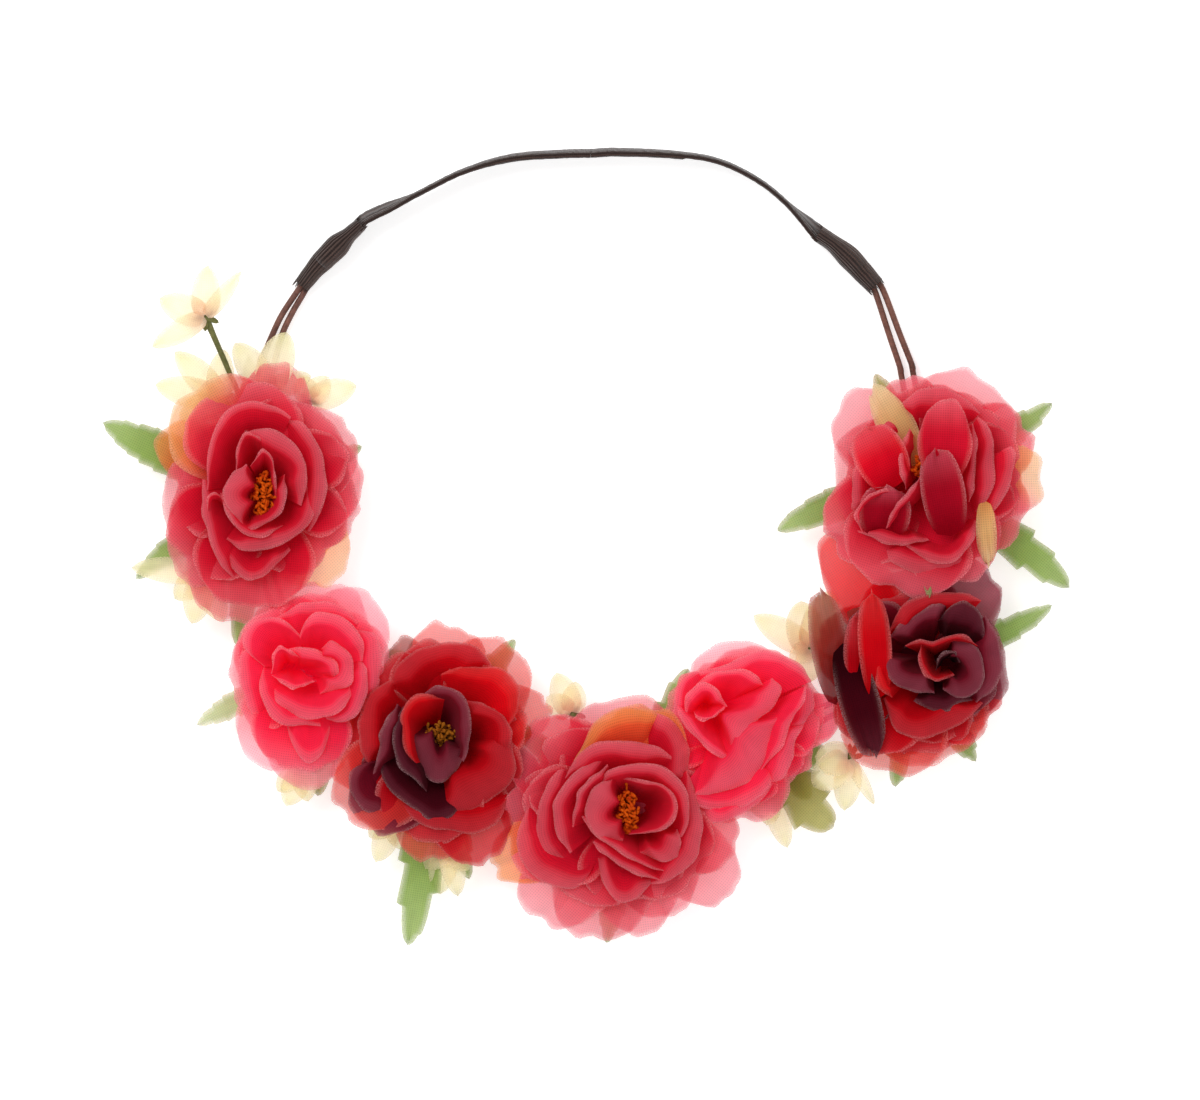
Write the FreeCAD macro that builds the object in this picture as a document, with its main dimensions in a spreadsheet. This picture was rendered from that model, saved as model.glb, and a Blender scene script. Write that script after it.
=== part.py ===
import FreeCAD, Part
import math
import os
from FreeCAD import Placement, Rotation, Vector

# A flower crown lying flat on a table: a wire ring with fabric roses, leaves and small
# blossoms taped to it, closed at the back by an elastic band in two ribbon sleeves.
# Millimetres. Origin at the middle of the head opening, on the table. +X runs across the
# crown, +Y toward the elastic at the back and +Z up, the way that the flowers face.

UP = Vector(0, 0, 1)

DIMENSIONS = {
    "wire_radius": 0.8,
    "wire_tunnel_radius": 0.85,
    "tape_length": 18.0,
    "tape_width": 10.0,
    "tape_height": 4.0,
    "tape_rounding": 1.2,
    "elastic_thickness": 1.6,
    "elastic_width": 9.0,
    "sleeve_slot_width": 2.2,
    "sleeve_slot_height": 9.6,
    "sleeve_slot_depth": 18.0,
    "sleeve_mouth_half_height": 6.0,
    "sleeve_mouth_half_width": 2.7,
    "sleeve_waist_half_height": 5.9,
    "sleeve_waist_half_width": 3.4,
    "sleeve_end_half_height": 2.65,
    "sleeve_end_half_width": 2.6,
    "cloth_thickness": 0.6,
    "leaf_thickness": 0.5,
    "rose_stem_radius": 1.3,
    "rose_stem_height": 3.5,
    "calyx_top_radius": 5.0,
    "calyx_height": 4.1,
    "core_radius": 1.1,
    "core_height": 3.2,
    "core_hole_radius": 1.6,
    "dish_sphere_radius": 50.0,
    "dish_hub_radius": 8.0,
    "stamen_foot_radius": 1.5,
    "stamen_head_radius": 4.5,
    "stamen_height": 11.0,
    "twig_radius": 0.55,
    "cup_length": 3.5,
    "cup_radius": 1.7,
    "blossom_length": 9.0,
    "blossom_mouth_radius": 6.0,
    "blossom_thickness": 0.5,
}

# Heights above the table.
WIRE_LEVEL = 1.9
ELASTIC_BOTTOM = 1.5
CALYX_LEVEL = 7.5
DISH_LEVEL = 12.0
MIDDLE_LEVEL = 13.0
INNER_LEVEL = 14.2
STAMEN_LEVEL = 15.3
TWIG_BEND_LEVEL = 9.2
DISH_TOP_LEVEL = 32.0

# The ring's centre line, from behind the left rose round the front to the right rose.
RING_ROUTE = [
    (-83.8, 31.0),
    (-87.0, 8.0),
    (-87.0, -15.5),
    (-81.5, -38.5),
    (-69.0, -57.5),
    (-50.0, -69.5),
    (-28.0, -77.0),
    (-4.0, -83.5),
    (19.5, -85.0),
    (42.0, -74.0),
    (64.0, -64.5),
    (84.0, -51.0),
    (91.5, -29.0),
    (91.5, -6.0),
    (85.3, 28.5),
]
WIRE_SPACING = 3.2

# The elastic's line, from inside the left sleeve to inside the right one.
ELASTIC_ROUTE = [
    (-65.1, 60.2),
    (-57.9, 67.7),
    (-45.5, 73.4),
    (-33.0, 79.6),
    (-20.0, 83.6),
    (-6.0, 84.7),
    (9.0, 85.2),
    (24.0, 84.5),
    (36.0, 82.4),
    (47.2, 76.7),
    (67.9, 58.1),
]

# Each side's sleeve, from its mouth at the elastic to its end at the wires, with the
# point that the two wires pass between the sleeve and the ring.
SIDES = {
    "left": {"mouth": (-60.0, 65.5), "end": (-75.3, 49.7), "bend": (-80.6, 40.8), "ring": 0},
    "right": {"mouth": (62.3, 63.1), "end": (77.1, 49.8), "bend": (82.0, 39.5), "ring": -1},
}
HINGE_GAP = 1.4

# Each rose: where its stem stands, the sizes of its two cups, whether its heart is a
# closed bud or shows stamens, and its outer petals as (direction, reach, tip radius).
ROSES = {
    "coral_rose_left": {
        "hub": (-86.0, -5.0),
        "middle_radius": 19.0,
        "inner_radius": 11.0,
        "bud": False,
        "petals": [(72, 34, 13), (128, 31, 13), (190, 26, 13), (258, 36, 14), (310, 30, 13), (20, 27, 13)],
    },
    "pink_rose_left": {
        "hub": (-73.0, -53.0),
        "middle_radius": 16.0,
        "inner_radius": 9.0,
        "bud": True,
        "petals": [(92, 24, 11), (38, 22, 11), (345, 22, 11), (273, 31, 12), (222, 26, 11), (162, 21, 11)],
    },
    "red_rose_left": {
        "hub": (-39.0, -71.0),
        "middle_radius": 18.0,
        "inner_radius": 11.0,
        "bud": False,
        "petals": [
            (68, 32, 13),
            (18, 30, 12),
            (188, 30, 11),
            (226, 33, 12),
            (268, 33, 12),
            (315, 29, 12),
            (128, 24, 12),
        ],
    },
    "coral_rose_front": {
        "hub": (11.0, -89.0),
        "middle_radius": 19.0,
        "inner_radius": 11.0,
        "bud": False,
        "petals": [
            (138, 36, 13),
            (86, 29, 13),
            (38, 26, 12),
            (333, 34, 13),
            (283, 35, 13),
            (241, 34, 12),
            (203, 38, 12),
        ],
    },
    "pink_rose_right": {
        "hub": (42.0, -69.5),
        "middle_radius": 15.5,
        "inner_radius": 8.5,
        "bud": True,
        "petals": [(158, 24, 11), (104, 25, 11), (50, 23, 11), (5, 22, 11), (320, 22, 11), (275, 23, 11)],
    },
    "red_rose_right": {
        "hub": (87.0, -52.0),
        "middle_radius": 17.5,
        "inner_radius": 9.5,
        "bud": True,
        "petals": [
            (129, 41, 7),
            (175, 25, 12),
            (222, 27, 12),
            (276, 28, 12),
            (320, 27, 12),
            (12, 26, 12),
            (68, 25, 11),
        ],
    },
    "coral_rose_right": {
        "hub": (91.0, -2.0),
        "middle_radius": 19.0,
        "inner_radius": 10.5,
        "bud": False,
        "petals": [
            (180, 26, 12),
            (124, 29, 12),
            (78, 28, 13),
            (18, 32, 13),
            (316, 30, 13),
            (268, 30, 12),
            (226, 27, 12),
        ],
    },
}
MIDDLE_RIM_LATITUDE = -15
INNER_RIM_LATITUDE = 25
BUD_RIM_LATITUDE = 55

# Neighbouring roses press against each other along a line this far from the first hub.
CROWDING = [
    ("coral_rose_left", "pink_rose_left", 26.0),
    ("pink_rose_left", "red_rose_left", 19.0),
    ("red_rose_left", "coral_rose_front", 24.5),
    ("coral_rose_front", "pink_rose_right", 20.0),
    ("pink_rose_right", "red_rose_right", 23.5),
    ("red_rose_right", "coral_rose_right", 23.5),
]
CROWDING_GAP = 0.4
CROWDING_DEPTH = 40.0
CROWDING_SPAN = 44.0

# Each rose's leaves as (tip, width), and the level that they lie at.
LEAVES = {
    "coral_rose_left": (
        5.6,
        [
            ((-128.3, 13.5), 12),
            ((-119.3, -28.6), 10),
            ((-59.1, 6.6), 9),
            ((-93.0, -46.4), 9),
            ((-90.0, 31.0), 8),
        ],
    ),
    "pink_rose_left": (4.8, [((-103.4, -67.3), 10), ((-70.8, -86.1), 10)]),
    "red_rose_left": (5.6, [((-46.9, -125.9), 14), ((-30.7, -108.1), 10), ((-18.6, -44.3), 9)]),
    "coral_rose_front": (4.8, [((5.8, -125.6), 10), ((-21.2, -63.9), 9), ((27.5, -51.9), 12)]),
    "pink_rose_right": (5.6, [((65.7, -94.3), 12), ((66.0, -75.5), 8)]),
    "red_rose_right": (6.4, [((124.0, -35.2), 10), ((103.9, -76.9), 9), ((82.4, -83.5), 8)]),
    "coral_rose_right": (
        4.8,
        [
            ((50.9, -15.4), 11),
            ((129.1, -30.7), 13),
            ((124.3, 18.6), 11),
            ((77.0, 26.0), 8),
            ((91.0, -33.0), 7),
        ],
    ),
}
LEAF_START = 9.5
LEAF_STEP = 0.8  # neighbouring leaves of a rose lie on two levels, this far apart

# Blossoms held fast among the flowers: the rose whose tape holds each one, where its twig
# stands on the tape (along and across it), its cup's place and the way that it faces.
TUCKED_BLOSSOMS = [
    ("coral_rose_left", (-4.6, -2.5), (-98.0, 18.5, 12.5), (-0.75, 0.65, 0.15)),
    ("coral_rose_left", (-6.4, 1.0), (-84.0, 21.0, 13.2), (-0.05, 1.0, 0.15)),
    ("coral_rose_left", (-4.8, 2.7), (-73.0, 17.0, 12.5), (0.5, 0.9, 0.15)),
    ("pink_rose_left", (3.5, 0.0), (-75.0, -78.0, 13.5), (-0.05, -1.0, 0.1)),
    ("red_rose_left", (-5.5, 0.0), (-51.0, -92.0, 14.0), (-0.2, -1.0, 0.1)),
    ("coral_rose_front", (-4.5, 0.0), (-3.0, -63.0, 13.0), (-0.45, 0.9, 0.1)),
    ("coral_rose_front", (-7.0, 0.0), (-6.5, -87.5, 12.2), (-1.0, -0.1, 0.0)),
    ("red_rose_left", (-7.5, 0.0), (-43.5, -55.5, 12.8), (-0.25, 0.95, 0.0)),
    ("pink_rose_right", (6.0, 0.0), (54.0, -79.4, 12.2), (0.55, -0.83, 0.0)),
    ("pink_rose_right", (2.0, 0.0), (50.0, -87.0, 13.0), (0.15, -1.0, 0.1)),
]

# Blossoms whose twigs can be swung by hand: the same values.
LOOSE_BLOSSOMS = {
    "upper_left_blossom": ("coral_rose_left", (-7.8, -1.2), (-99.5, 38.0, 16.0), (-0.1, 1.0, 0.12)),
    "lower_left_blossom": ("coral_rose_left", (5.5, -1.5), (-101.0, -29.0, 13.0), (-0.9, -0.45, 0.1)),
    "bottom_blossom": ("red_rose_left", (4.5, 0.0), (-36.5, -98.5, 14.0), (0.05, -1.0, 0.05)),
    "inner_blossom": ("red_rose_right", (-7.0, 0.0), (60.0, -46.5, 13.0), (-0.75, 0.65, 0.1)),
    "lower_right_blossom": ("red_rose_right", (-3.0, 0.0), (72.5, -74.0, 13.5), (0.1, -1.0, 0.1)),
}
LOOSE_TWIG_GAP = 0.3
TWIG_TURN_RUN = 5.0

document = FreeCAD.newDocument("FlowerCrown")
sheet = document.addObject("Spreadsheet::Sheet", "Dims")
for row, (alias, value) in enumerate(DIMENSIONS.items(), 1):
    sheet.set(f"A{row}", alias.replace("_", " "))
    sheet.set(f"B{row}", str(value))
    sheet.setAlias(f"B{row}", alias)
document.recompute()

pieces = []


def make(kind, bound=None, placement=None, **values):
    """A document object, with plain values and with sizes bound to the sheet."""
    item = document.addObject(kind, kind.split("::")[1])
    for name, value in values.items():
        setattr(item, name, value)
    for name, formula in (bound or {}).items():
        item.setExpression(name, formula)
    if placement:
        item.Placement = placement
    return item


def keep(item, label):
    """Marks an object as a sub-part: its label is its node's name."""
    item.Label = label
    pieces.append(item)


def flat(point, level=0.0):
    return Vector(point[0], point[1], level)


def facing(origin, direction):
    """A placement whose local Z runs along a direction."""
    return Placement(origin, Rotation(UP, direction))


def turned(origin, direction):
    """A placement on the level whose local X runs along a level direction."""
    angle = math.degrees(math.atan2(direction.y, direction.x))
    return Placement(origin, Rotation(UP, angle))


def sideways(direction):
    """The level direction to the left of another."""
    return UP.cross(direction).normalize()


def rounded_path(points):
    """Straight runs joined by tangent arcs as large as the runs allow, as one wire."""
    edges = []
    start = points[0]
    for before, corner, after in zip(points, points[1:], points[2:]):
        back = before - corner
        ahead = after - corner
        reach = 0.45 * min(back.Length, ahead.Length)
        half_angle = back.getAngle(ahead) / 2
        radius = reach * math.tan(half_angle)
        back.normalize()
        ahead.normalize()
        inward = (back + ahead).normalize()
        centre = corner + inward * (radius / math.sin(half_angle))
        first = corner + back * reach
        last = corner + ahead * reach
        edges.append(Part.LineSegment(start, first).toShape())
        edges.append(Part.Arc(first, centre - inward * radius, last).toShape())
        start = last
    edges.append(Part.LineSegment(start, points[-1]).toShape())
    return Part.Wire(edges)


def path_object(points):
    path = make("Part::Feature")
    path.Shape = rounded_path(points)
    return path


def swept(path, section):
    """A solid swept from a section along a path object."""
    edges = [f"Edge{n + 1}" for n in range(len(path.Shape.Edges))]
    return make("Part::Sweep", Sections=[section], Spine=(path, edges), Solid=True)


def tube(points, radius_name):
    section = make(
        "Part::Circle",
        {"Radius": f"Dims.{radius_name}"},
        facing(points[0], points[1] - points[0]),
    )
    return swept(path_object(points), section)


def beside(points, offsets):
    """A route beside another on the level, at an offset to the left of each point."""
    moved = []
    for n, (point, offset) in enumerate(zip(points, offsets)):
        before = points[max(n - 1, 0)]
        after = points[min(n + 1, len(points) - 1)]
        moved.append(point + sideways(after - before) * offset)
    return moved


def cut(base, tool):
    return make("Part::Cut", Base=base, Tool=tool)


def common(base, tool):
    return make("Part::Common", Base=base, Tool=tool)


def fuse(shapes):
    return make("Part::MultiFuse", Shapes=shapes)


def compound(links):
    return make("Part::Compound", Links=links)


# ---------------------------------------------------------------- wires of the ring
ring_points = [flat(point, WIRE_LEVEL) for point in RING_ROUTE]
ring_line = rounded_path(ring_points)
ring_samples = ring_line.discretize(Number=400)


def ring_wires(radius_name):
    """The ring's outer and inner wire, side by side."""
    wires = []
    for side in (-1, 1):
        offsets = [side * WIRE_SPACING / 2] * len(ring_points)
        wires.append(tube(beside(ring_points, offsets), radius_name))
    return wires


outer_wire, inner_wire = ring_wires("wire_radius")
keep(outer_wire, "base_wire_outer")
keep(inner_wire, "base_wire_inner")
wire_tunnels = compound(ring_wires("wire_tunnel_radius"))


# ---------------------------------------------------------------- tape round the wires
def ring_place(hub):
    """The ring's nearest point to a rose's hub, and the ring's direction there."""
    spot = flat(hub, WIRE_LEVEL)
    n = min(range(1, len(ring_samples) - 1), key=lambda k: (ring_samples[k] - spot).Length)
    direction = (ring_samples[n + 1] - ring_samples[n - 1]).normalize()
    return ring_samples[n], direction


TAPE_SHIFT = 0.4  # share of the way from the wires to the rose's stem
tape_places = {}


def binding_tape(rose, hub):
    near, direction = ring_place(hub)
    centre = flat(near) + (flat(hub) - flat(near)) * TAPE_SHIFT
    tape_places[rose] = (centre, direction)
    corner = turned(centre, direction)
    half_length = DIMENSIONS["tape_length"] / 2
    half_width = DIMENSIONS["tape_width"] / 2
    block = make(
        "Part::Box",
        {"Length": "Dims.tape_length", "Width": "Dims.tape_width", "Height": "Dims.tape_height"},
        corner.multiply(Placement(Vector(-half_length, -half_width, 0), Rotation())),
    )
    document.recompute()
    rounding = DIMENSIONS["tape_rounding"]
    long_edges = [
        (n, rounding, rounding)
        for n, edge in enumerate(block.Shape.Edges, 1)
        if abs(edge.Length - DIMENSIONS["tape_length"]) < 0.01
    ]
    rounded = make("Part::Fillet", Base=block, Edges=long_edges)
    return cut(rounded, wire_tunnels)


keep(compound([binding_tape(rose, spec["hub"]) for rose, spec in ROSES.items()]), "binding_tape")


# ---------------------------------------------------------------- elastic band
elastic_middle = ELASTIC_BOTTOM + DIMENSIONS["elastic_width"] / 2
elastic_points = [flat(point, elastic_middle) for point in ELASTIC_ROUTE]
elastic_along = (elastic_points[1] - elastic_points[0]).normalize()
elastic_turn = Rotation(UP.cross(elastic_along), UP, elastic_along, "ZXY")
elastic_corner = Vector(-DIMENSIONS["elastic_thickness"] / 2, -DIMENSIONS["elastic_width"] / 2, 0)
elastic_section = make(
    "Part::Plane",
    {"Length": "Dims.elastic_thickness", "Width": "Dims.elastic_width"},
    Placement(elastic_points[0] + elastic_turn.multVec(elastic_corner), elastic_turn),
)
keep(swept(path_object(elastic_points), elastic_section), "elastic_band")


# ---------------------------------------------------------------- sleeves and side wires
WAIST_SHARE = 0.42
WIRE_IN_SLEEVE = 5.0
WIRE_STRAIGHT = 2.0
HALF_SPACINGS = [1.15, 1.15, 1.5, 1.6]


def sleeve_section(centre, direction, name):
    """An upright ellipse across the sleeve, standing on the table's level at its foot."""
    half_height = DIMENSIONS[f"sleeve_{name}_half_height"]
    across = UP.cross(direction)
    standing = Rotation(UP, across, direction, "ZXY")
    return make(
        "Part::Ellipse",
        {
            "MajorRadius": f"Dims.sleeve_{name}_half_height",
            "MinorRadius": f"Dims.sleeve_{name}_half_width",
        },
        Placement(centre + UP * half_height, standing),
    )


def ribbon_sleeve(side, spec):
    """A wrap of ribbon, with a slot for the elastic and two holes for the wires."""
    mouth = flat(spec["mouth"])
    end = flat(spec["end"])
    along = (end - mouth).normalize()
    waist = mouth + (end - mouth) * WAIST_SHARE
    sections = [
        sleeve_section(mouth, along, "mouth"),
        sleeve_section(waist, along, "waist"),
        sleeve_section(end, along, "end"),
    ]
    body = make("Part::Loft", Sections=sections, Solid=True)
    slot_depth = DIMENSIONS["sleeve_slot_depth"]
    slot_middle = Vector(
        -slot_depth / 2,
        -DIMENSIONS["sleeve_slot_width"] / 2,
        elastic_middle - DIMENSIONS["sleeve_slot_height"] / 2,
    )
    slot = make(
        "Part::Box",
        {
            "Length": "Dims.sleeve_slot_depth",
            "Width": "Dims.sleeve_slot_width",
            "Height": "Dims.sleeve_slot_height",
        },
        turned(mouth, along).multiply(Placement(slot_middle, Rotation())),
    )
    tunnels = side_wires(spec, "wire_tunnel_radius")
    keep(cut(body, compound([slot, *tunnels])), f"ribbon_sleeve_{side}")


def side_wires(spec, radius_name):
    """The two wires from inside the sleeve down to the ring, where they can flex."""
    mouth = flat(spec["mouth"], WIRE_LEVEL)
    end = flat(spec["end"], WIRE_LEVEL)
    along = (end - mouth).normalize()
    ring_end = ring_points[spec["ring"]]
    ring_next = ring_points[1] if spec["ring"] == 0 else ring_points[-2]
    away = (ring_end - ring_next).normalize()
    line = [
        end - along * WIRE_IN_SLEEVE,
        end + along * WIRE_STRAIGHT,
        flat(spec["bend"], WIRE_LEVEL),
        ring_end + away * HINGE_GAP,
    ]
    wires = []
    for hand in (-1, 1):
        offsets = [hand * spacing for spacing in HALF_SPACINGS]
        wires.append(tube(beside(line, offsets), radius_name))
    return wires


for side, spec in SIDES.items():
    ribbon_sleeve(side, spec)
    keep(compound(side_wires(spec, "wire_radius")), f"{side}_wire_pair")


# ---------------------------------------------------------------- roses
def spherical_cup(hub, level, radius, rim_latitude=None):
    """A thin cup of cloth, cut from a sphere, that stands on its pole at a level."""
    centre = Placement(flat(hub, level + radius), Rotation())
    outside = make("Part::Sphere", placement=centre, Radius=radius)
    if rim_latitude is not None:
        outside.Angle2 = rim_latitude
    inside = make("Part::Sphere", {"Radius": f"{radius} - Dims.cloth_thickness"}, centre)
    return cut(outside, inside)


def core_hole(hub):
    """The hole through every layer of petals for the stem's thin core."""
    bottom = Placement(flat(hub, CALYX_LEVEL), Rotation())
    return make("Part::Cylinder", {"Radius": "Dims.core_hole_radius"}, bottom, Height=9.5)


def petal_outline(hub, petals):
    """A flat flower with one round-tipped petal for each direction, as a tall prism."""
    height = DISH_TOP_LEVEL - DISH_LEVEL + 1
    bottom = flat(hub, DISH_LEVEL - 1)
    shapes = [
        make(
            "Part::Cylinder",
            {"Radius": "Dims.dish_hub_radius"},
            Placement(bottom, Rotation()),
            Height=height,
        )
    ]
    for angle, reach, tip_radius in petals:
        heading = Rotation(UP, angle)
        length = reach - tip_radius
        tip = bottom + heading.multVec(Vector(length, 0, 0))
        tip_place = Placement(tip, Rotation())
        shapes.append(
            make("Part::Cylinder", placement=tip_place, Radius=tip_radius, Height=height)
        )
        half_width = tip_radius * 0.6
        corner = bottom + heading.multVec(Vector(0, -half_width, 0))
        shapes.append(
            make(
                "Part::Box",
                placement=Placement(corner, heading),
                Length=length,
                Width=2 * half_width,
                Height=height,
            )
        )
    return fuse(shapes)


def crowding_blocks(rose):
    """What the neighbouring roses take away from a rose's outer petals."""
    blocks = []
    for first, second, distance in CROWDING:
        if rose not in (first, second):
            continue
        start = flat(ROSES[first]["hub"])
        along = (flat(ROSES[second]["hub"]) - start).normalize()
        middle = start + along * distance
        outward = along if rose == first else along * -1
        corner = middle + outward * -CROWDING_GAP - sideways(outward) * (CROWDING_SPAN / 2)
        blocks.append(
            make(
                "Part::Box",
                placement=turned(corner, outward),
                Length=CROWDING_DEPTH,
                Width=CROWDING_SPAN,
                Height=DISH_TOP_LEVEL + 1,
            )
        )
    return blocks


def rose_stem(hub):
    """A stem that stands on the tape, the calyx on it, and the core that holds the petals."""
    stem = make(
        "Part::Cylinder",
        {"Radius": "Dims.rose_stem_radius", "Height": "Dims.rose_stem_height"},
        Placement(flat(hub, DIMENSIONS["tape_height"]), Rotation()),
    )
    calyx = make(
        "Part::Cone",
        {
            "Radius1": "Dims.rose_stem_radius",
            "Radius2": "Dims.calyx_top_radius",
            "Height": "Dims.calyx_height",
        },
        Placement(flat(hub, CALYX_LEVEL), Rotation()),
    )
    core = make(
        "Part::Cylinder",
        {"Radius": "Dims.core_radius", "Height": "Dims.core_height"},
        Placement(flat(hub, CALYX_LEVEL + DIMENSIONS["calyx_height"]), Rotation()),
    )
    return fuse([stem, calyx, core])


def stamens(hub):
    return make(
        "Part::Cone",
        {
            "Radius1": "Dims.stamen_foot_radius",
            "Radius2": "Dims.stamen_head_radius",
            "Height": "Dims.stamen_height",
        },
        Placement(flat(hub, STAMEN_LEVEL), Rotation()),
    )


def build_rose(rose, spec):
    hub = spec["hub"]
    dish = spherical_cup(hub, DISH_LEVEL, DIMENSIONS["dish_sphere_radius"])
    outline = petal_outline(hub, spec["petals"])
    outer = cut(common(dish, outline), compound([core_hole(hub), *crowding_blocks(rose)]))
    keep(outer, f"{rose}_outer_petals")
    middle = spherical_cup(hub, MIDDLE_LEVEL, spec["middle_radius"], MIDDLE_RIM_LATITUDE)
    keep(cut(middle, core_hole(hub)), f"{rose}_middle_petals")
    rim = BUD_RIM_LATITUDE if spec["bud"] else INNER_RIM_LATITUDE
    inner = spherical_cup(hub, INNER_LEVEL, spec["inner_radius"], rim)
    keep(cut(inner, core_hole(hub)), f"{rose}_inner_petals")
    keep(rose_stem(hub), f"{rose}_stem")
    if not spec["bud"]:
        keep(stamens(hub), f"{rose}_stamens")


for rose, spec in ROSES.items():
    build_rose(rose, spec)


# ---------------------------------------------------------------- leaves
def leaf(start, tip, width):
    """A flat pointed leaf: what two round plates have in common."""
    along = tip - start
    length = along.Length
    radius = (length**2 + width**2) / (4 * width)
    across = sideways(along)
    middle = start + along * 0.5
    plates = []
    for hand in (-1, 1):
        centre = middle + across * (hand * (radius - width / 2))
        plates.append(
            make(
                "Part::Cylinder",
                {"Height": "Dims.leaf_thickness"},
                Placement(centre, Rotation()),
                Radius=radius,
            )
        )
    return common(*plates)


def leaf_whorl(rose, level, leaves):
    hub = flat(ROSES[rose]["hub"], level)
    made = []
    for n, (tip, width) in enumerate(leaves):
        end = flat(tip, level)
        start = hub + (end - hub).normalize() * LEAF_START
        lift = UP * (LEAF_STEP * (n % 2))
        made.append(leaf(start + lift, end + lift, width))
    keep(compound(made), f"{rose}_leaves")


for rose, (level, leaves) in LEAVES.items():
    leaf_whorl(rose, level, leaves)


# ---------------------------------------------------------------- small blossoms
def twig_root(rose, place_on_tape):
    centre, direction = tape_places[rose]
    along, across = place_on_tape
    return centre + direction * along + sideways(direction) * across


def twig(rose, place_on_tape, cup_foot, facing_way, gap):
    """A twig that stands on the tape, bends outward and ends in a small green cup."""
    root = twig_root(rose, place_on_tape)
    foot = Vector(*cup_foot)
    outward = Vector(*facing_way).normalize()
    points = [
        root + UP * (DIMENSIONS["tape_height"] + gap),
        root + UP * TWIG_BEND_LEVEL,
        foot - outward * TWIG_TURN_RUN,
        foot,
    ]
    cup = make(
        "Part::Cone",
        {
            "Radius1": "Dims.twig_radius",
            "Radius2": "Dims.cup_radius",
            "Height": "Dims.cup_length",
        },
        facing(foot, outward),
    )
    return fuse([tube(points, "twig_radius"), cup])


def blossom_petals(cup_foot, facing_way):
    """A funnel of cloth petals on the cup's rim."""
    outward = Vector(*facing_way).normalize()
    rim = Vector(*cup_foot) + outward * DIMENSIONS["cup_length"]
    outside = make(
        "Part::Cone",
        {
            "Radius1": "Dims.cup_radius",
            "Radius2": "Dims.blossom_mouth_radius",
            "Height": "Dims.blossom_length",
        },
        facing(rim, outward),
    )
    inside = make(
        "Part::Cone",
        {
            "Radius1": "Dims.cup_radius - Dims.blossom_thickness",
            "Radius2": "Dims.blossom_mouth_radius - Dims.blossom_thickness",
            "Height": "Dims.blossom_length",
        },
        facing(rim, outward),
    )
    return cut(outside, inside)


tucked_twigs = [twig(*blossom, gap=0.0) for blossom in TUCKED_BLOSSOMS]
tucked_petals = [blossom_petals(foot, way) for _, _, foot, way in TUCKED_BLOSSOMS]
keep(compound(tucked_twigs), "tucked_blossom_twigs")
keep(compound(tucked_petals), "tucked_blossom_petals")
for name, blossom in LOOSE_BLOSSOMS.items():
    keep(twig(*blossom, gap=LOOSE_TWIG_GAP), f"{name}_twig")
    keep(blossom_petals(blossom[2], blossom[3]), f"{name}_petals")
    print(f"{name} swings about {twig_root(blossom[0], blossom[1])}")


# ---------------------------------------------------------------- check and write
document.recompute()
for item in document.Objects:
    if "Invalid" in item.State or "Error" in item.State:
        raise RuntimeError(f"{item.Name} ({item.Label}) failed to compute")
for item in pieces:
    if item.Shape.isNull() or not item.Shape.isValid() or not item.Shape.Solids:
        raise RuntimeError(f"{item.Label} has no valid solid")
for item in pieces:
    item.Shape.exportStep(f"parts/{item.Label}.step")
    print(f"{item.Label}: {len(item.Shape.Solids)} solids, {item.Shape.Volume:.0f} mm3")
for rose in ROSES:
    print(f"{rose} stands on its tape at {tape_places[rose][0]}")
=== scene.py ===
import math
import random

import bpy
import numpy as np
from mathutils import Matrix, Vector, noise


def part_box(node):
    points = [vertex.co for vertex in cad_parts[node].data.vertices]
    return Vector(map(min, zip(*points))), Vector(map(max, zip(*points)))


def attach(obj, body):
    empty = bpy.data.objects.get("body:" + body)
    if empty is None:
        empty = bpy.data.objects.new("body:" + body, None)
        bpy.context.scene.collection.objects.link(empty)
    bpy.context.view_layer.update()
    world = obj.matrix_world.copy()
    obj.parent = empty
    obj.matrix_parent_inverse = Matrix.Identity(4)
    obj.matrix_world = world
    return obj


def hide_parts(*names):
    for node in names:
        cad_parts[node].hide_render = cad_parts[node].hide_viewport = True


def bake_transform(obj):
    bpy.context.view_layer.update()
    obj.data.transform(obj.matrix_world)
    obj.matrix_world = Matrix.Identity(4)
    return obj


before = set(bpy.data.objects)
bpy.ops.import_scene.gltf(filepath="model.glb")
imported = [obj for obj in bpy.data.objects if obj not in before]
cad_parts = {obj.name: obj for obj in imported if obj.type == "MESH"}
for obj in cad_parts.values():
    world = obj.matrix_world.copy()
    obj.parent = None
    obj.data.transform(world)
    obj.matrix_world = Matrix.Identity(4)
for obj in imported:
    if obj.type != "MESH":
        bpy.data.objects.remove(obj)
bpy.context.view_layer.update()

MM = 0.001
ROSES = ("coral_rose_left", "pink_rose_left", "red_rose_left", "coral_rose_front",
         "pink_rose_right", "red_rose_right", "coral_rose_right")


# ---------------------------------------------------------------- colours

def linear(rgb):
    """An 8 bit sRGB colour as linear light."""
    shares = [value / 255.0 for value in rgb]
    return tuple(c / 12.92 if c <= 0.04045 else ((c + 0.055) / 1.055) ** 2.4 for c in shares)


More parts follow.
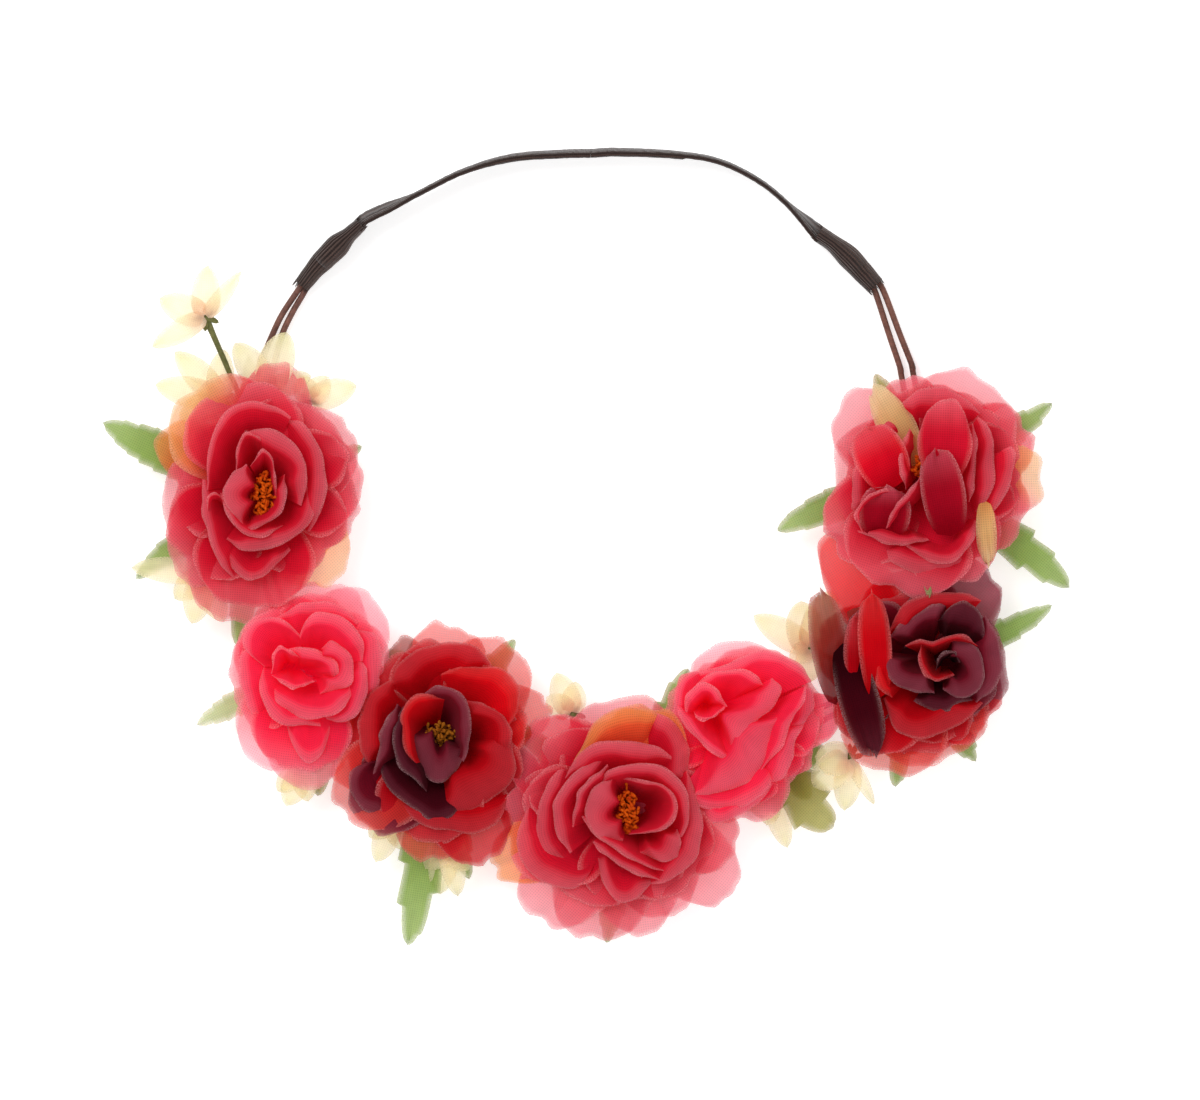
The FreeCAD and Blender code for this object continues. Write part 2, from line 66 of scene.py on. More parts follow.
# Each dye: colour deep in the petal, darker there as painted shade where petals overlap at the foot, in its
# middle, and on its rim, lighter there partly as painted light through the thin rim; how dense its cloth is
# at foot and rim.
DYES_AND_PAINTED_SHADE = {
    "coral": ((196, 0, 28), (224, 24, 52), (240, 100, 116), 0.99, 0.94),
    "coral_deep": ((150, 0, 22), (184, 14, 40), (214, 78, 98), 0.99, 0.95),
    "coral_bright": ((212, 0, 26), (236, 16, 42), (240, 84, 98), 0.98, 0.93),
    "coral_pale": ((220, 10, 40), (238, 52, 76), (242, 112, 126), 0.96, 0.88),
    "coral_sheer": ((226, 34, 62), (236, 84, 102), (240, 122, 136), 0.9, 0.78),
    "orange": ((228, 44, 44), (242, 96, 56), (246, 158, 90), 0.93, 0.84),
    "apricot": ((238, 110, 84), (244, 160, 96), (246, 190, 130), 0.88, 0.76),
    "butter": ((238, 176, 100), (236, 204, 134), (240, 220, 168), 0.94, 0.88),
    "pink": ((255, 14, 56), (255, 46, 84), (255, 112, 136), 0.99, 0.93),
    "pink_pale": ((253, 40, 82), (255, 84, 112), (255, 134, 152), 0.95, 0.86),
    "pink_sheer": ((253, 84, 114), (255, 118, 140), (255, 150, 168), 0.88, 0.74),
    "red": ((170, 0, 8), (204, 6, 22), (218, 54, 64), 0.99, 0.94),
    "red_bright": ((206, 0, 12), (232, 8, 24), (236, 52, 54), 0.97, 0.92),
    "red_sheer": ((216, 18, 24), (230, 52, 50), (234, 88, 82), 0.91, 0.78),
    "wine": ((92, 2, 18), (122, 16, 36), (154, 66, 82), 0.99, 0.96),
    "wine_dark": ((44, 2, 10), (76, 8, 22), (110, 40, 54), 0.99, 0.97),
    "brown_red": ((128, 14, 22), (150, 40, 34), (176, 84, 66), 0.95, 0.88),
    "wine_sheer": ((116, 16, 24), (146, 38, 38), (170, 80, 70), 0.94, 0.86),
    "leaf": ((98, 126, 44), (132, 160, 76), (156, 178, 104), 0.99, 0.97),
    "leaf_pale": ((148, 164, 84), (168, 182, 108), (190, 200, 136), 0.92, 0.84),
    "olive": ((128, 118, 46), (156, 150, 72), (174, 170, 98), 0.98, 0.95),
    "cream": ((247, 220, 194), (250, 240, 204), (238, 232, 180), 0.95, 0.88),
}


def dye_with_painted_shade(dye, low, high):
    """A dye's colour with painted shade and light: deep at low 0, which is painted shade, its middle at low
    1, its rim at high 1, which is partly painted light.
    """
    deep, middle, rim = (np.array(linear(rgb)) for rgb in DYES_AND_PAINTED_SHADE[dye][:3])
    colour = deep + (middle - deep) * low[..., None]
    return colour + (rim - colour) * high[..., None]


# ---------------------------------------------------------------- materials

class Material:
    """A material and short names for building its nodes."""

    def __init__(self, name):
        self.mat = bpy.data.materials.new(name)
        self.mat.use_nodes = True
        self.tree = self.mat.node_tree
        self.tree.nodes.clear()

    def add(self, kind, **settings):
        node = self.tree.nodes.new(kind)
        for key, value in settings.items():
            setattr(node, key, value)
        return node

    def put(self, socket, value):
        if isinstance(value, bpy.types.NodeSocket):
            self.tree.links.new(value, socket)
        else:
            socket.default_value = value

    def math(self, operation, *values, clamp=False):
        node = self.add("ShaderNodeMath", operation=operation, use_clamp=clamp)
        for socket, value in zip(node.inputs, values):
            self.put(socket, value)
        return node.outputs[0]

    def times(self, a, b):
        return self.math("MULTIPLY", a, b)

    def minus(self, a, b, clamp=False):
        return self.math("SUBTRACT", a, b, clamp=clamp)

    def times_plus(self, a, factor, extra):
        return self.math("MULTIPLY_ADD", a, factor, extra)

    def attribute(self, name, output="Fac"):
        return self.add("ShaderNodeAttribute", attribute_name=name).outputs[output]

    def flat_map(self):
        """The cloth laid flat, in millimetres."""
        return self.add("ShaderNodeUVMap", uv_map="flat").outputs["UV"]

    def split(self, vector):
        node = self.add("ShaderNodeSeparateXYZ")
        self.put(node.inputs[0], vector)
        return node.outputs

    def noise(self, vector, scale, detail=2.0, rough=0.5):
        node = self.add("ShaderNodeTexNoise")
        self.put(node.inputs["Vector"], vector)
        node.inputs["Scale"].default_value = scale
        node.inputs["Detail"].default_value = detail
        node.inputs["Roughness"].default_value = rough
        return node.outputs["Fac"]

    def mix(self, factor, a, b):
        node = self.add("ShaderNodeMix", data_type="RGBA", blend_type="MIX")
        for index, value in ((0, factor), (6, a), (7, b)):
            self.put(node.inputs[index], value)
        return node.outputs[2]

    def between(self, factor, dark, light):
        return self.mix(factor, linear(dark) + (1.0,), linear(light) + (1.0,))

    def ramp(self, factor, low, high):
        """0 below low, 1 above high."""
        node = self.add("ShaderNodeMapRange")
        self.put(node.inputs["Value"], factor)
        node.inputs["From Min"].default_value = low
        node.inputs["From Max"].default_value = high
        return node.outputs["Result"]

    def scaled(self, vector, factor):
        node = self.add("ShaderNodeVectorMath", operation="SCALE")
        self.put(node.inputs[0], vector)
        self.put(node.inputs["Scale"], factor)
        return node.outputs[0]

    def surface(self, colour, rough, specular, sheen=0.0, sheen_rough=0.5):
        node = self.add("ShaderNodeBsdfPrincipled")
        self.put(node.inputs["Base Color"], colour)
        self.put(node.inputs["Roughness"], rough)
        node.inputs["Specular IOR Level"].default_value = specular
        node.inputs["Sheen Weight"].default_value = sheen
        node.inputs["Sheen Roughness"].default_value = sheen_rough
        return node

    def bump(self, surface, height, strength, depth):
        """Relief of a depth in millimetres."""
        node = self.add("ShaderNodeBump")
        node.inputs["Strength"].default_value = strength
        node.inputs["Distance"].default_value = depth * MM
        self.put(node.inputs["Height"], height)
        self.put(surface.inputs["Normal"], node.outputs[0])

    def blend(self, factor, first, second):
        node = self.add("ShaderNodeMixShader")
        for socket, value in zip(node.inputs, (factor, first.outputs[0], second.outputs[0])):
            self.put(socket, value)
        return node

    def done(self, shader):
        self.put(self.add("ShaderNodeOutputMaterial").inputs["Surface"], shader.outputs[0])
        return self.mat


THREAD_PITCH = 0.62  # mm
WEAVE_WANDER = 2.1
# Pale tint of the rim: partly frayed threads, partly a painted rim highlight.
FRAY_AND_HIGHLIGHT_TINT = (1.0, 0.78, 0.76, 1.0)


def weave_of(m, flat, pitch):
    """Threads crossing at a pitch in millimetres: 1 on a thread, 0 between."""
    shift = m.times(m.noise(flat, 0.35, 1.0), WEAVE_WANDER)
    across = m.split(flat)
    waves = []
    for axis in range(2):
        phase = m.times_plus(across[axis], 2 * math.pi / pitch, shift)
        waves.append(m.times_plus(m.math("SINE", phase), 0.5, 0.5))
    return m.times_plus(m.times(*waves), -1.0, 1.0)


def cloth(name, glow=0.42, contrast=0.23, pitch=THREAD_PITCH, sheen=0.03, open_weave=0.34):
    """Thin woven cloth of a dye colour: lit from above and through, denser on the threads, frayed on the rim,
    with a pale tint there that is partly loose threads and partly a painted rim highlight.
    """
    m = Material(name)
    flat, dense, rim = m.flat_map(), m.attribute("dense"), m.attribute("rim")
    weave = weave_of(m, flat, pitch)
    mottle = m.times_plus(m.noise(flat, 0.22, 3.0), 0.22, 0.89)
    gain = m.times(m.times_plus(weave, contrast, 1.0 - contrast * 0.75), mottle)
    frayed = m.noise(flat, 2.6, 2.0, 0.7)
    # A pale tint on the frayed rim: partly loose pale threads, partly a painted rim highlight.
    fray_and_highlight = m.times(m.times(rim, 0.28), m.ramp(frayed, 0.3, 0.62))
    tint = m.mix(fray_and_highlight, m.scaled(m.attribute("dye", "Color"), gain), FRAY_AND_HIGHLIGHT_TINT)
    surface = m.surface(tint, 0.85, 0.02, sheen)
    m.bump(surface, weave, 0.35, 0.12)
    through = m.add("ShaderNodeBsdfTranslucent")
    m.put(through.inputs["Color"], tint)
    holes = m.times(m.minus(1.0, weave), open_weave)
    cover = m.minus(dense, m.times(holes, m.minus(1.08, dense)))
    fringe = m.times(rim, m.ramp(frayed, 0.62, 0.36))
    cover = m.minus(cover, m.times(fringe, 0.55), clamp=True)
    return m.done(m.blend(cover, m.add("ShaderNodeBsdfTransparent"), m.blend(glow, surface, through)))


def solid(name, dark, light, scale=900.0, rough=0.6, bump=0.3, specular=0.3):
    """Opaque stuff with fine colour and surface variation."""
    m = Material(name)
    place = m.add("ShaderNodeTexCoord").outputs["Object"]
    fine = m.noise(place, scale, 3.0, 0.6)
    coarse = m.noise(place, scale * 0.12, 2.0)
    blotches = m.times_plus(coarse, 0.5, m.times(fine, 0.5))
    colour = m.between(m.ramp(blotches, 0.35, 0.65), dark, light)
    surface = m.surface(colour, m.times_plus(fine, 0.2, rough - 0.1), specular)
    m.bump(surface, fine, bump, 0.15)
    return m.done(surface)


def ribbed(name, dark, light, pitch, across=0.55):
    """Ribbed ribbon or knitted elastic: the ribs run along the piece."""
    m = Material(name)
    flat = m.flat_map()
    around, along = m.split(flat)[:2]
    jitter = m.times(m.noise(flat, 0.8, 2.0), 2.0)
    rib = m.math("SINE", m.times_plus(around, 2 * math.pi / pitch, jitter))
    pick = m.math("SINE", m.times_plus(along, 2 * math.pi / (pitch * 0.6), jitter))
    height = m.math("ADD", m.times_plus(pick, across * 0.25, m.times(rib, 0.4)), 0.5)
    fuzz = m.times_plus(m.noise(flat, 3.0, 3.0, 0.7), 0.5, m.times(height, 0.6))
    surface = m.surface(m.between(m.ramp(fuzz, 0.3, 0.85), dark, light), 0.8, 0.2, 0.3, 0.4)
    m.bump(surface, height, 0.8, 0.25)
    return m.done(surface)


# ---------------------------------------------------------------- meshes

def smooth(x, low, high):
    t = np.clip((x - low) / (high - low), 0.0, 1.0)
    return t * t * (3 - 2 * t)


def jitter_noise(points, frequency, seed):
    """Smooth noise, -1 to 1, at each point of an array."""
    flat = points.reshape(-1, points.shape[-1]) * frequency
    values = [noise.noise(Vector((p[0] + seed, p[1] - seed, seed * 0.37))) for p in flat]
    return np.array(values).reshape(points.shape[:-1])


def smooth_line(points, count):
    """A soft curve through points, as that many points."""
    points = np.array(points, dtype=float)
    ends = np.vstack([2 * points[0] - points[1], points, 2 * points[-1] - points[-2]])
    out = []
    for place in np.linspace(0, len(points) - 1, count):
        k = min(int(place), len(points) - 2)
        t = place - k
        p0, p1, p2, p3 = ends[k:k + 4]
        out.append(0.5 * (2 * p1 + (p2 - p0) * t + (2 * p0 - 5 * p1 + 4 * p2 - p3) * t ** 2
                          + (3 * p1 - p0 - 3 * p2 + p3) * t ** 3))
    return np.array(out)


def distances(points):
    """How far along its line each point is."""
    return np.concatenate([[0], np.cumsum(np.linalg.norm(np.diff(points, axis=0), axis=1))])


class Piece:
    """One visible piece, gathered from grids of points in millimetres."""

    def __init__(self, name):
        self.name = name
        self.points, self.flat, self.faces = [], [], []
        self.dye, self.dense, self.rim = [], [], []
        self.count = 0

    def grid(self, points, flat, dye=1.0, dense=1.0, rim=0.0, closed=False):
        rows, cols = points.shape[:2]
        index = self.count + np.arange(rows * cols).reshape(rows, cols)
        blocks = [(index[:-1, :-1], index[:-1, 1:], index[1:, 1:], index[1:, :-1])]
        if closed:
            blocks.append((index[:-1, -1], index[:-1, 0], index[1:, 0], index[1:, -1]))
        for corners in blocks:
            self.faces += np.stack(corners, axis=-1).reshape(-1, 4).tolist()
        if closed:
            self.faces += [index[0, ::-1].tolist(), index[-1].tolist()]
        self.count += rows * cols
        self.points.append(points.reshape(-1, 3))
        self.flat.append(flat.reshape(-1, 2))
        self.dye.append(np.broadcast_to(dye, (rows, cols, 3)).reshape(-1, 3))
        self.dense.append(np.broadcast_to(dense, (rows, cols)).reshape(-1))
        self.rim.append(np.broadcast_to(rim, (rows, cols)).reshape(-1))

    def build(self, mat, body, slot, *nodes):
        mesh = bpy.data.meshes.new(self.name)
        mesh.from_pydata((np.concatenate(self.points) * MM).tolist(), [], self.faces)
        layer = mesh.uv_layers.new(name="flat")
        corners = np.empty(len(mesh.loops), dtype=np.int32)
        mesh.loops.foreach_get("vertex_index", corners)
        layer.data.foreach_set("uv", np.concatenate(self.flat)[corners].reshape(-1))
        colour = np.hstack([np.concatenate(self.dye), np.ones((self.count, 1))])
        mesh.attributes.new("dye", "FLOAT_COLOR", "POINT").data.foreach_set("color", colour.reshape(-1))
        for name, values in (("dense", self.dense), ("rim", self.rim)):
            mesh.attributes.new(name, "FLOAT", "POINT").data.foreach_set("value", np.concatenate(values))
        mesh.materials.append(mat)
        mesh.polygons.foreach_set("use_smooth", [True] * len(mesh.polygons))
        mesh.update()
        obj = bpy.data.objects.new(self.name, mesh)
        bpy.context.scene.collection.objects.link(obj)
        if body:
            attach(obj, body)
        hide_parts(*nodes)
        return obj


# ---------------------------------------------------------------- petals

LINE_STEPS = 64
LIP_FROM, PALE_FROM = 0.78, 0.5
NOTCH = 0.02
RIM_WIDTH = 1.5


def middle_line(rise, tip, lip, bend, heading, lean):
    """Slope, course and place along a petal's middle line of length 1, in even steps."""
    t = np.linspace(0, 1, LINE_STEPS)
    slope = np.radians(rise + (tip - rise) * t ** bend + lip * smooth(t, LIP_FROM, 1.0))
    course = np.radians(heading + lean * t)
    run = np.stack([np.cos(slope) * np.cos(course), np.cos(slope) * np.sin(course), np.sin(slope)], axis=1)
    path = np.concatenate([np.zeros((1, 3)), np.cumsum((run[1:] + run[:-1]) / 2, axis=0)]) / (LINE_STEPS - 1)
    return t, slope, course, path


def toothed(v, teeth, depth, seed):
    """A leaf's half width along it, with uneven teeth that point to its tip."""
    rng = random.Random(seed * 131 + 7)
    shape = np.sin(np.pi * np.clip(v, 0, 1) ** 0.72) ** 0.6
    phase = v * teeth + rng.uniform(0, 1)
    depth = depth * (1 + 0.5 * np.sin(np.floor(phase) * 2.7 + rng.uniform(0, 6)))
    saw = (phase - np.floor(phase)) ** 1.5
    return shape * (1 + 0.3 * depth - depth * (1 - saw) * smooth(v, 0.08, 0.3)) + 0.03


def half_width(form, u, v, foot, mid, full, teeth, depth, seed):
    """How wide a petal is along it, as a share of its half width."""
    if form == "leaf":
        return np.where(u < 0, toothed(v, teeth, depth, seed), toothed(v, teeth, depth, seed + 50))
    if form == "oval":
        return foot * (1 - v) ** 1.5 + 0.97 * np.sin(np.pi * np.clip(v, 0, 1) ** (0.5 / mid)) ** full + 0.03
    outline = foot + (1 - foot) * np.sin(np.pi / 2 * np.minimum(1, v / mid)) ** 1.1
    return outline * (1 - 0.14 * smooth(v, mid, 1.0))


def petal(piece, base, heading, rise, tip, reach=None, length=None, width=12.0, dye="coral",
          wrap=(26.0, 70.0), lean=0.0, lip=-25.0, roll=1.2, ruffle=0.9, rounding=0.26, foot=0.36, seed=0,
          patch=None, bend=1.2, crumple=0.5, mid=0.55, full=0.62, form="petal", rows=19, cols=17, teeth=5,
          depth=0.16, folds=2, crease=0.5):
    """One moulded cloth petal.

    base is its foot in millimetres, heading the compass angle of its middle line, rise and tip the slopes of
    that line in degrees at its foot and end, lip how much its end bends over, and wrap how tightly it curls
    sideways at foot and end, in millimetres of radius.
    """
    t, slope, course, path = middle_line(rise, tip, lip, bend, heading, lean)
    if length is None:
        length = reach / math.hypot(path[-1, 0], path[-1, 1])
    v = np.linspace(0, 1, rows)[:, None] * np.ones((1, cols))
    u = np.ones((rows, 1)) * np.linspace(-1, 1, cols)[None, :]
    outline = half_width(form, u, v, foot, mid, full, teeth, depth, seed)
    rng = random.Random(seed * 7919 + 13)
    sway = [rng.uniform(-1, 1) for _ in range(6)]
    x = u * width * outline
    y = v + 0 * u
    if form == "petal":
        y = v * (1 - rounding * np.abs(u) ** 2.6 * v ** 2) - NOTCH * np.exp(-(u / 0.22) ** 2) * v ** 8
        y = y + 0.018 * v ** 5 * np.sin(4.1 * u + 6 * sway[0]) + 0.01 * v ** 5 * np.sin(11 * u + 5 * sway[1])
    at = np.clip(y, 0, 1)
    e, h = np.interp(at, t, slope), np.interp(at, t, course)
    side = np.stack([-np.sin(h), np.cos(h), np.zeros_like(h)], axis=-1)
    up = np.stack([-np.sin(e) * np.cos(h), -np.sin(e) * np.sin(h), np.cos(e)], axis=-1)
    radius = wrap[0] + (wrap[1] - wrap[0]) * at
    across = radius * np.sin(x / radius)
    lift = radius * (1 - np.cos(x / radius)) - roll * np.abs(u) ** 4 * smooth(v, 0.25, 0.9)
    phase = np.arctan2(1.3 * u, at + 0.15)
    edge = np.maximum(np.abs(u) ** 3, v ** 4)
    wave = np.sin(4.3 * phase + 3 * sway[2]) + 0.5 * np.sin(9.1 * phase + 5 * sway[3])
    lift = lift + ruffle * edge * v * wave
    spot = np.stack([x, y * length], axis=-1)
    creased = jitter_noise(spot, 0.16, seed * 1.7 + 3) + 0.4 * jitter_noise(spot, 0.42, seed + 9)
    lift = lift + crumple * v * creased
    for _ in range(folds):
        line = rng.uniform(-0.65, 0.65) + rng.uniform(-0.25, 0.25) * v
        ridge = np.exp(-np.abs((u - line) / 0.1) ** 1.4) * smooth(v, 0.15, 0.7)
        lift = lift + crease * rng.choice((-1, 1)) * ridge
    middle = np.stack([np.interp(at, t, path[:, axis]) * length for axis in range(3)], axis=-1)
    points = middle + side * across[..., None] + up * lift[..., None] + np.array(base)
    # Colour share: the dye's deep colour near the foot is painted shade where petals overlap, and its lighter
    # rim colour towards the edges and tip is partly painted light through the thin cloth.
    s = np.maximum(at, 0.35 * at + 0.65 * np.abs(u) ** 2.5 * smooth(v, 0.1, 0.6))
    s = np.clip(s + 0.06 * sway[4], 0, 1)
    low, high = smooth(s, 0.0, PALE_FROM), smooth(s, PALE_FROM, 1.0) ** 1.3
    colour = dye_with_painted_shade(dye, low, high)
    foot_dense, rim_dense = DYES_AND_PAINTED_SHADE[dye][3:]
    dense = foot_dense + (rim_dense - foot_dense) * smooth(s, 0.1, 0.9)
    if patch:
        other, start, end, side_bias = patch
        share = smooth(at + side_bias * u, start, end)
        foot_dense, rim_dense = DYES_AND_PAINTED_SHADE[other][3:]
        colour = colour + (dye_with_painted_shade(other, low, high) - colour) * share[..., None]
        dense = dense + (foot_dense + (rim_dense - foot_dense) * s - dense) * share
    gap = np.minimum((1 - np.abs(u)) * width * outline, (1 - v) * length)
    rim = np.clip(1 - gap / RIM_WIDTH, 0, 1) * smooth(v, 0.1, 0.4)
    piece.grid(points, spot, colour, dense, rim)


def ring(piece, hub, petals, seed, shape):
    """Petals placed round a hub: heading, reach, half width, dye, and what differs from the shape."""
    for index, (heading, reach, width, dye, *differs) in enumerate(petals):
        extra = dict(shape)
        for changes in differs:
            extra.update(changes)
        start = extra.pop("start")
        z = extra.pop("z") + 0.2 * (index % 3)
        shift = extra.pop("shift", (0.0, 0.0))
        a = math.radians(heading)
        base = (hub[0] + shift[0] + start * math.cos(a), hub[1] + shift[1] + start * math.sin(a), z)
        if "length" not in extra:
            extra["reach"] = reach - start
        petal(piece, base, heading, width=width, dye=dye, seed=seed * 31 + index, **extra)


CUP_COLS, WALL_ROWS, LIP_ROWS = 29, 11, 8
WALL_HEIGHT = 12.0  # mm of cloth from a cup's root to its fold
LIP_DROP = 0.42
THIN_LIP = 4.0


def cup(piece, hub, top, lip, dye, root, edge, seed, low):
    """An upright petal of the whorl: a wall rises from its root to a fold, then a lip rolls over outwards.

    edge is the lip's outer edge seen from above, top the height of the fold and lip the width of the lip, all
    in millimetres from the rose's hub.
    """
    rng = random.Random(seed * 977 + 3)
    sway = [rng.uniform(-1, 1) for _ in range(4)]
    outer = smooth_line(edge, CUP_COLS)
    root = np.array(root, dtype=float)
    s = np.linspace(0, 1, CUP_COLS)
    away = outer - root
    away = away / np.linalg.norm(away, axis=1)[:, None]
    full = smooth(s, 0.0, 0.22) * (1 - smooth(s, 0.78, 1.0))
    ends = 0.3 if lip < THIN_LIP else 0.1
    wide = lip * (ends + (1 - ends) * full) * (1 + 0.14 * np.sin(9 * s + 4 * sway[0]))
    fold = outer - away * wide[:, None]
    crest = top - 3.2 * (1 - full) + 0.7 * np.sin(5 * s + 4 * sway[1]) * full
    arc = distances(outer)
    rows, flats, shares, rims = [], [], [], []

    def add_row(place, height, down, share, rim):
        rows.append(np.concatenate([place, height[:, None]], axis=1))
        flats.append(np.stack([arc, np.zeros_like(arc) + down], axis=1))
        shares.append(np.full_like(s, share))
        rims.append(rim)

    for f in np.linspace(0, 1, WALL_ROWS):
        place = root + (fold - root) * (0.22 + 0.78 * f ** 0.8)
        add_row(place, low + (crest - low) * f ** 1.5, WALL_HEIGHT * f, 0.62 * f, np.zeros_like(s))
    for g in np.linspace(0, 1, LIP_ROWS + 1)[1:]:
        wave = 0.35 * g * g * (np.sin(11 * s + 6 * sway[2]) + 0.6 * np.sin(23 * s + 6 * sway[3]))
        out = wide * (np.sin(g * math.pi / 2) * 0.55 + 0.45 * g) + wave * 0.6
        rolled = 0.12 * np.minimum(wide, 3.0) * math.sin(math.pi * min(g * 1.6, 1.0))
        height = crest + rolled - LIP_DROP * wide * g ** 1.7 + wave
        rim = np.clip(1 - (1 - g) * wide / 1.3, 0, 1) * (0.3 + 0.7 * full)
        add_row(fold + away * out[:, None], height, WALL_HEIGHT + wide * g, 0.62 + 0.38 * g ** 0.7, rim)
    points, flat, share, rim = (np.array(block) for block in (rows, flats, shares, rims))
    soft = jitter_noise(flat, 0.18, seed * 1.3 + 2) + 0.4 * jitter_noise(flat, 0.5, seed + 7)
    soft = soft * smooth(share, 0.1, 0.6)
    points[..., 2] += 0.5 * soft
    points[..., :2] += 0.35 * soft[..., None] * away[None, :, :]
    points = points + np.array([hub[0], hub[1], 0.0])
    foot_dense, rim_dense = DYES_AND_PAINTED_SHADE[dye][3:]
    dense = foot_dense + (rim_dense - foot_dense) * share ** 2
    # The wall takes the dye's deep colour, painted shade inside the whorl, and the lip its lighter rim
    # colour, partly painted light.
    piece.grid(points, flat, dye_with_painted_shade(dye, smooth(share, 0.0, 0.6), smooth(share, 0.56, 0.95)), dense, rim)


def hub_of(rose):
    low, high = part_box(rose + "_stem")
    return ((low.x + high.x) / 2 / MM, (low.y + high.y) / 2 / MM)


# ---------------------------------------------------------------- roses

OUTER = dict(rise=14.0, tip=-6.0, wrap=(30.0, 90.0), ruffle=1.0, start=4.0, z=11.5)
SECOND = dict(rise=17.0, tip=-6.0, wrap=(22.0, 50.0), ruffle=0.9, start=4.0, z=12.4)
LAID = dict(start=0.0, wrap=(8.0, 13.0), form="oval", foot=0.0, mid=0.5, full=0.36, folds=3, ruffle=1.5)


def laid(heading, width, dye, shift, z, rise, tip, length):
    """A long petal, round at both ends, that lies over the whorl."""
    return (heading, 0, width, dye, dict(LAID, shift=shift, z=z, rise=rise, tip=tip, length=length))
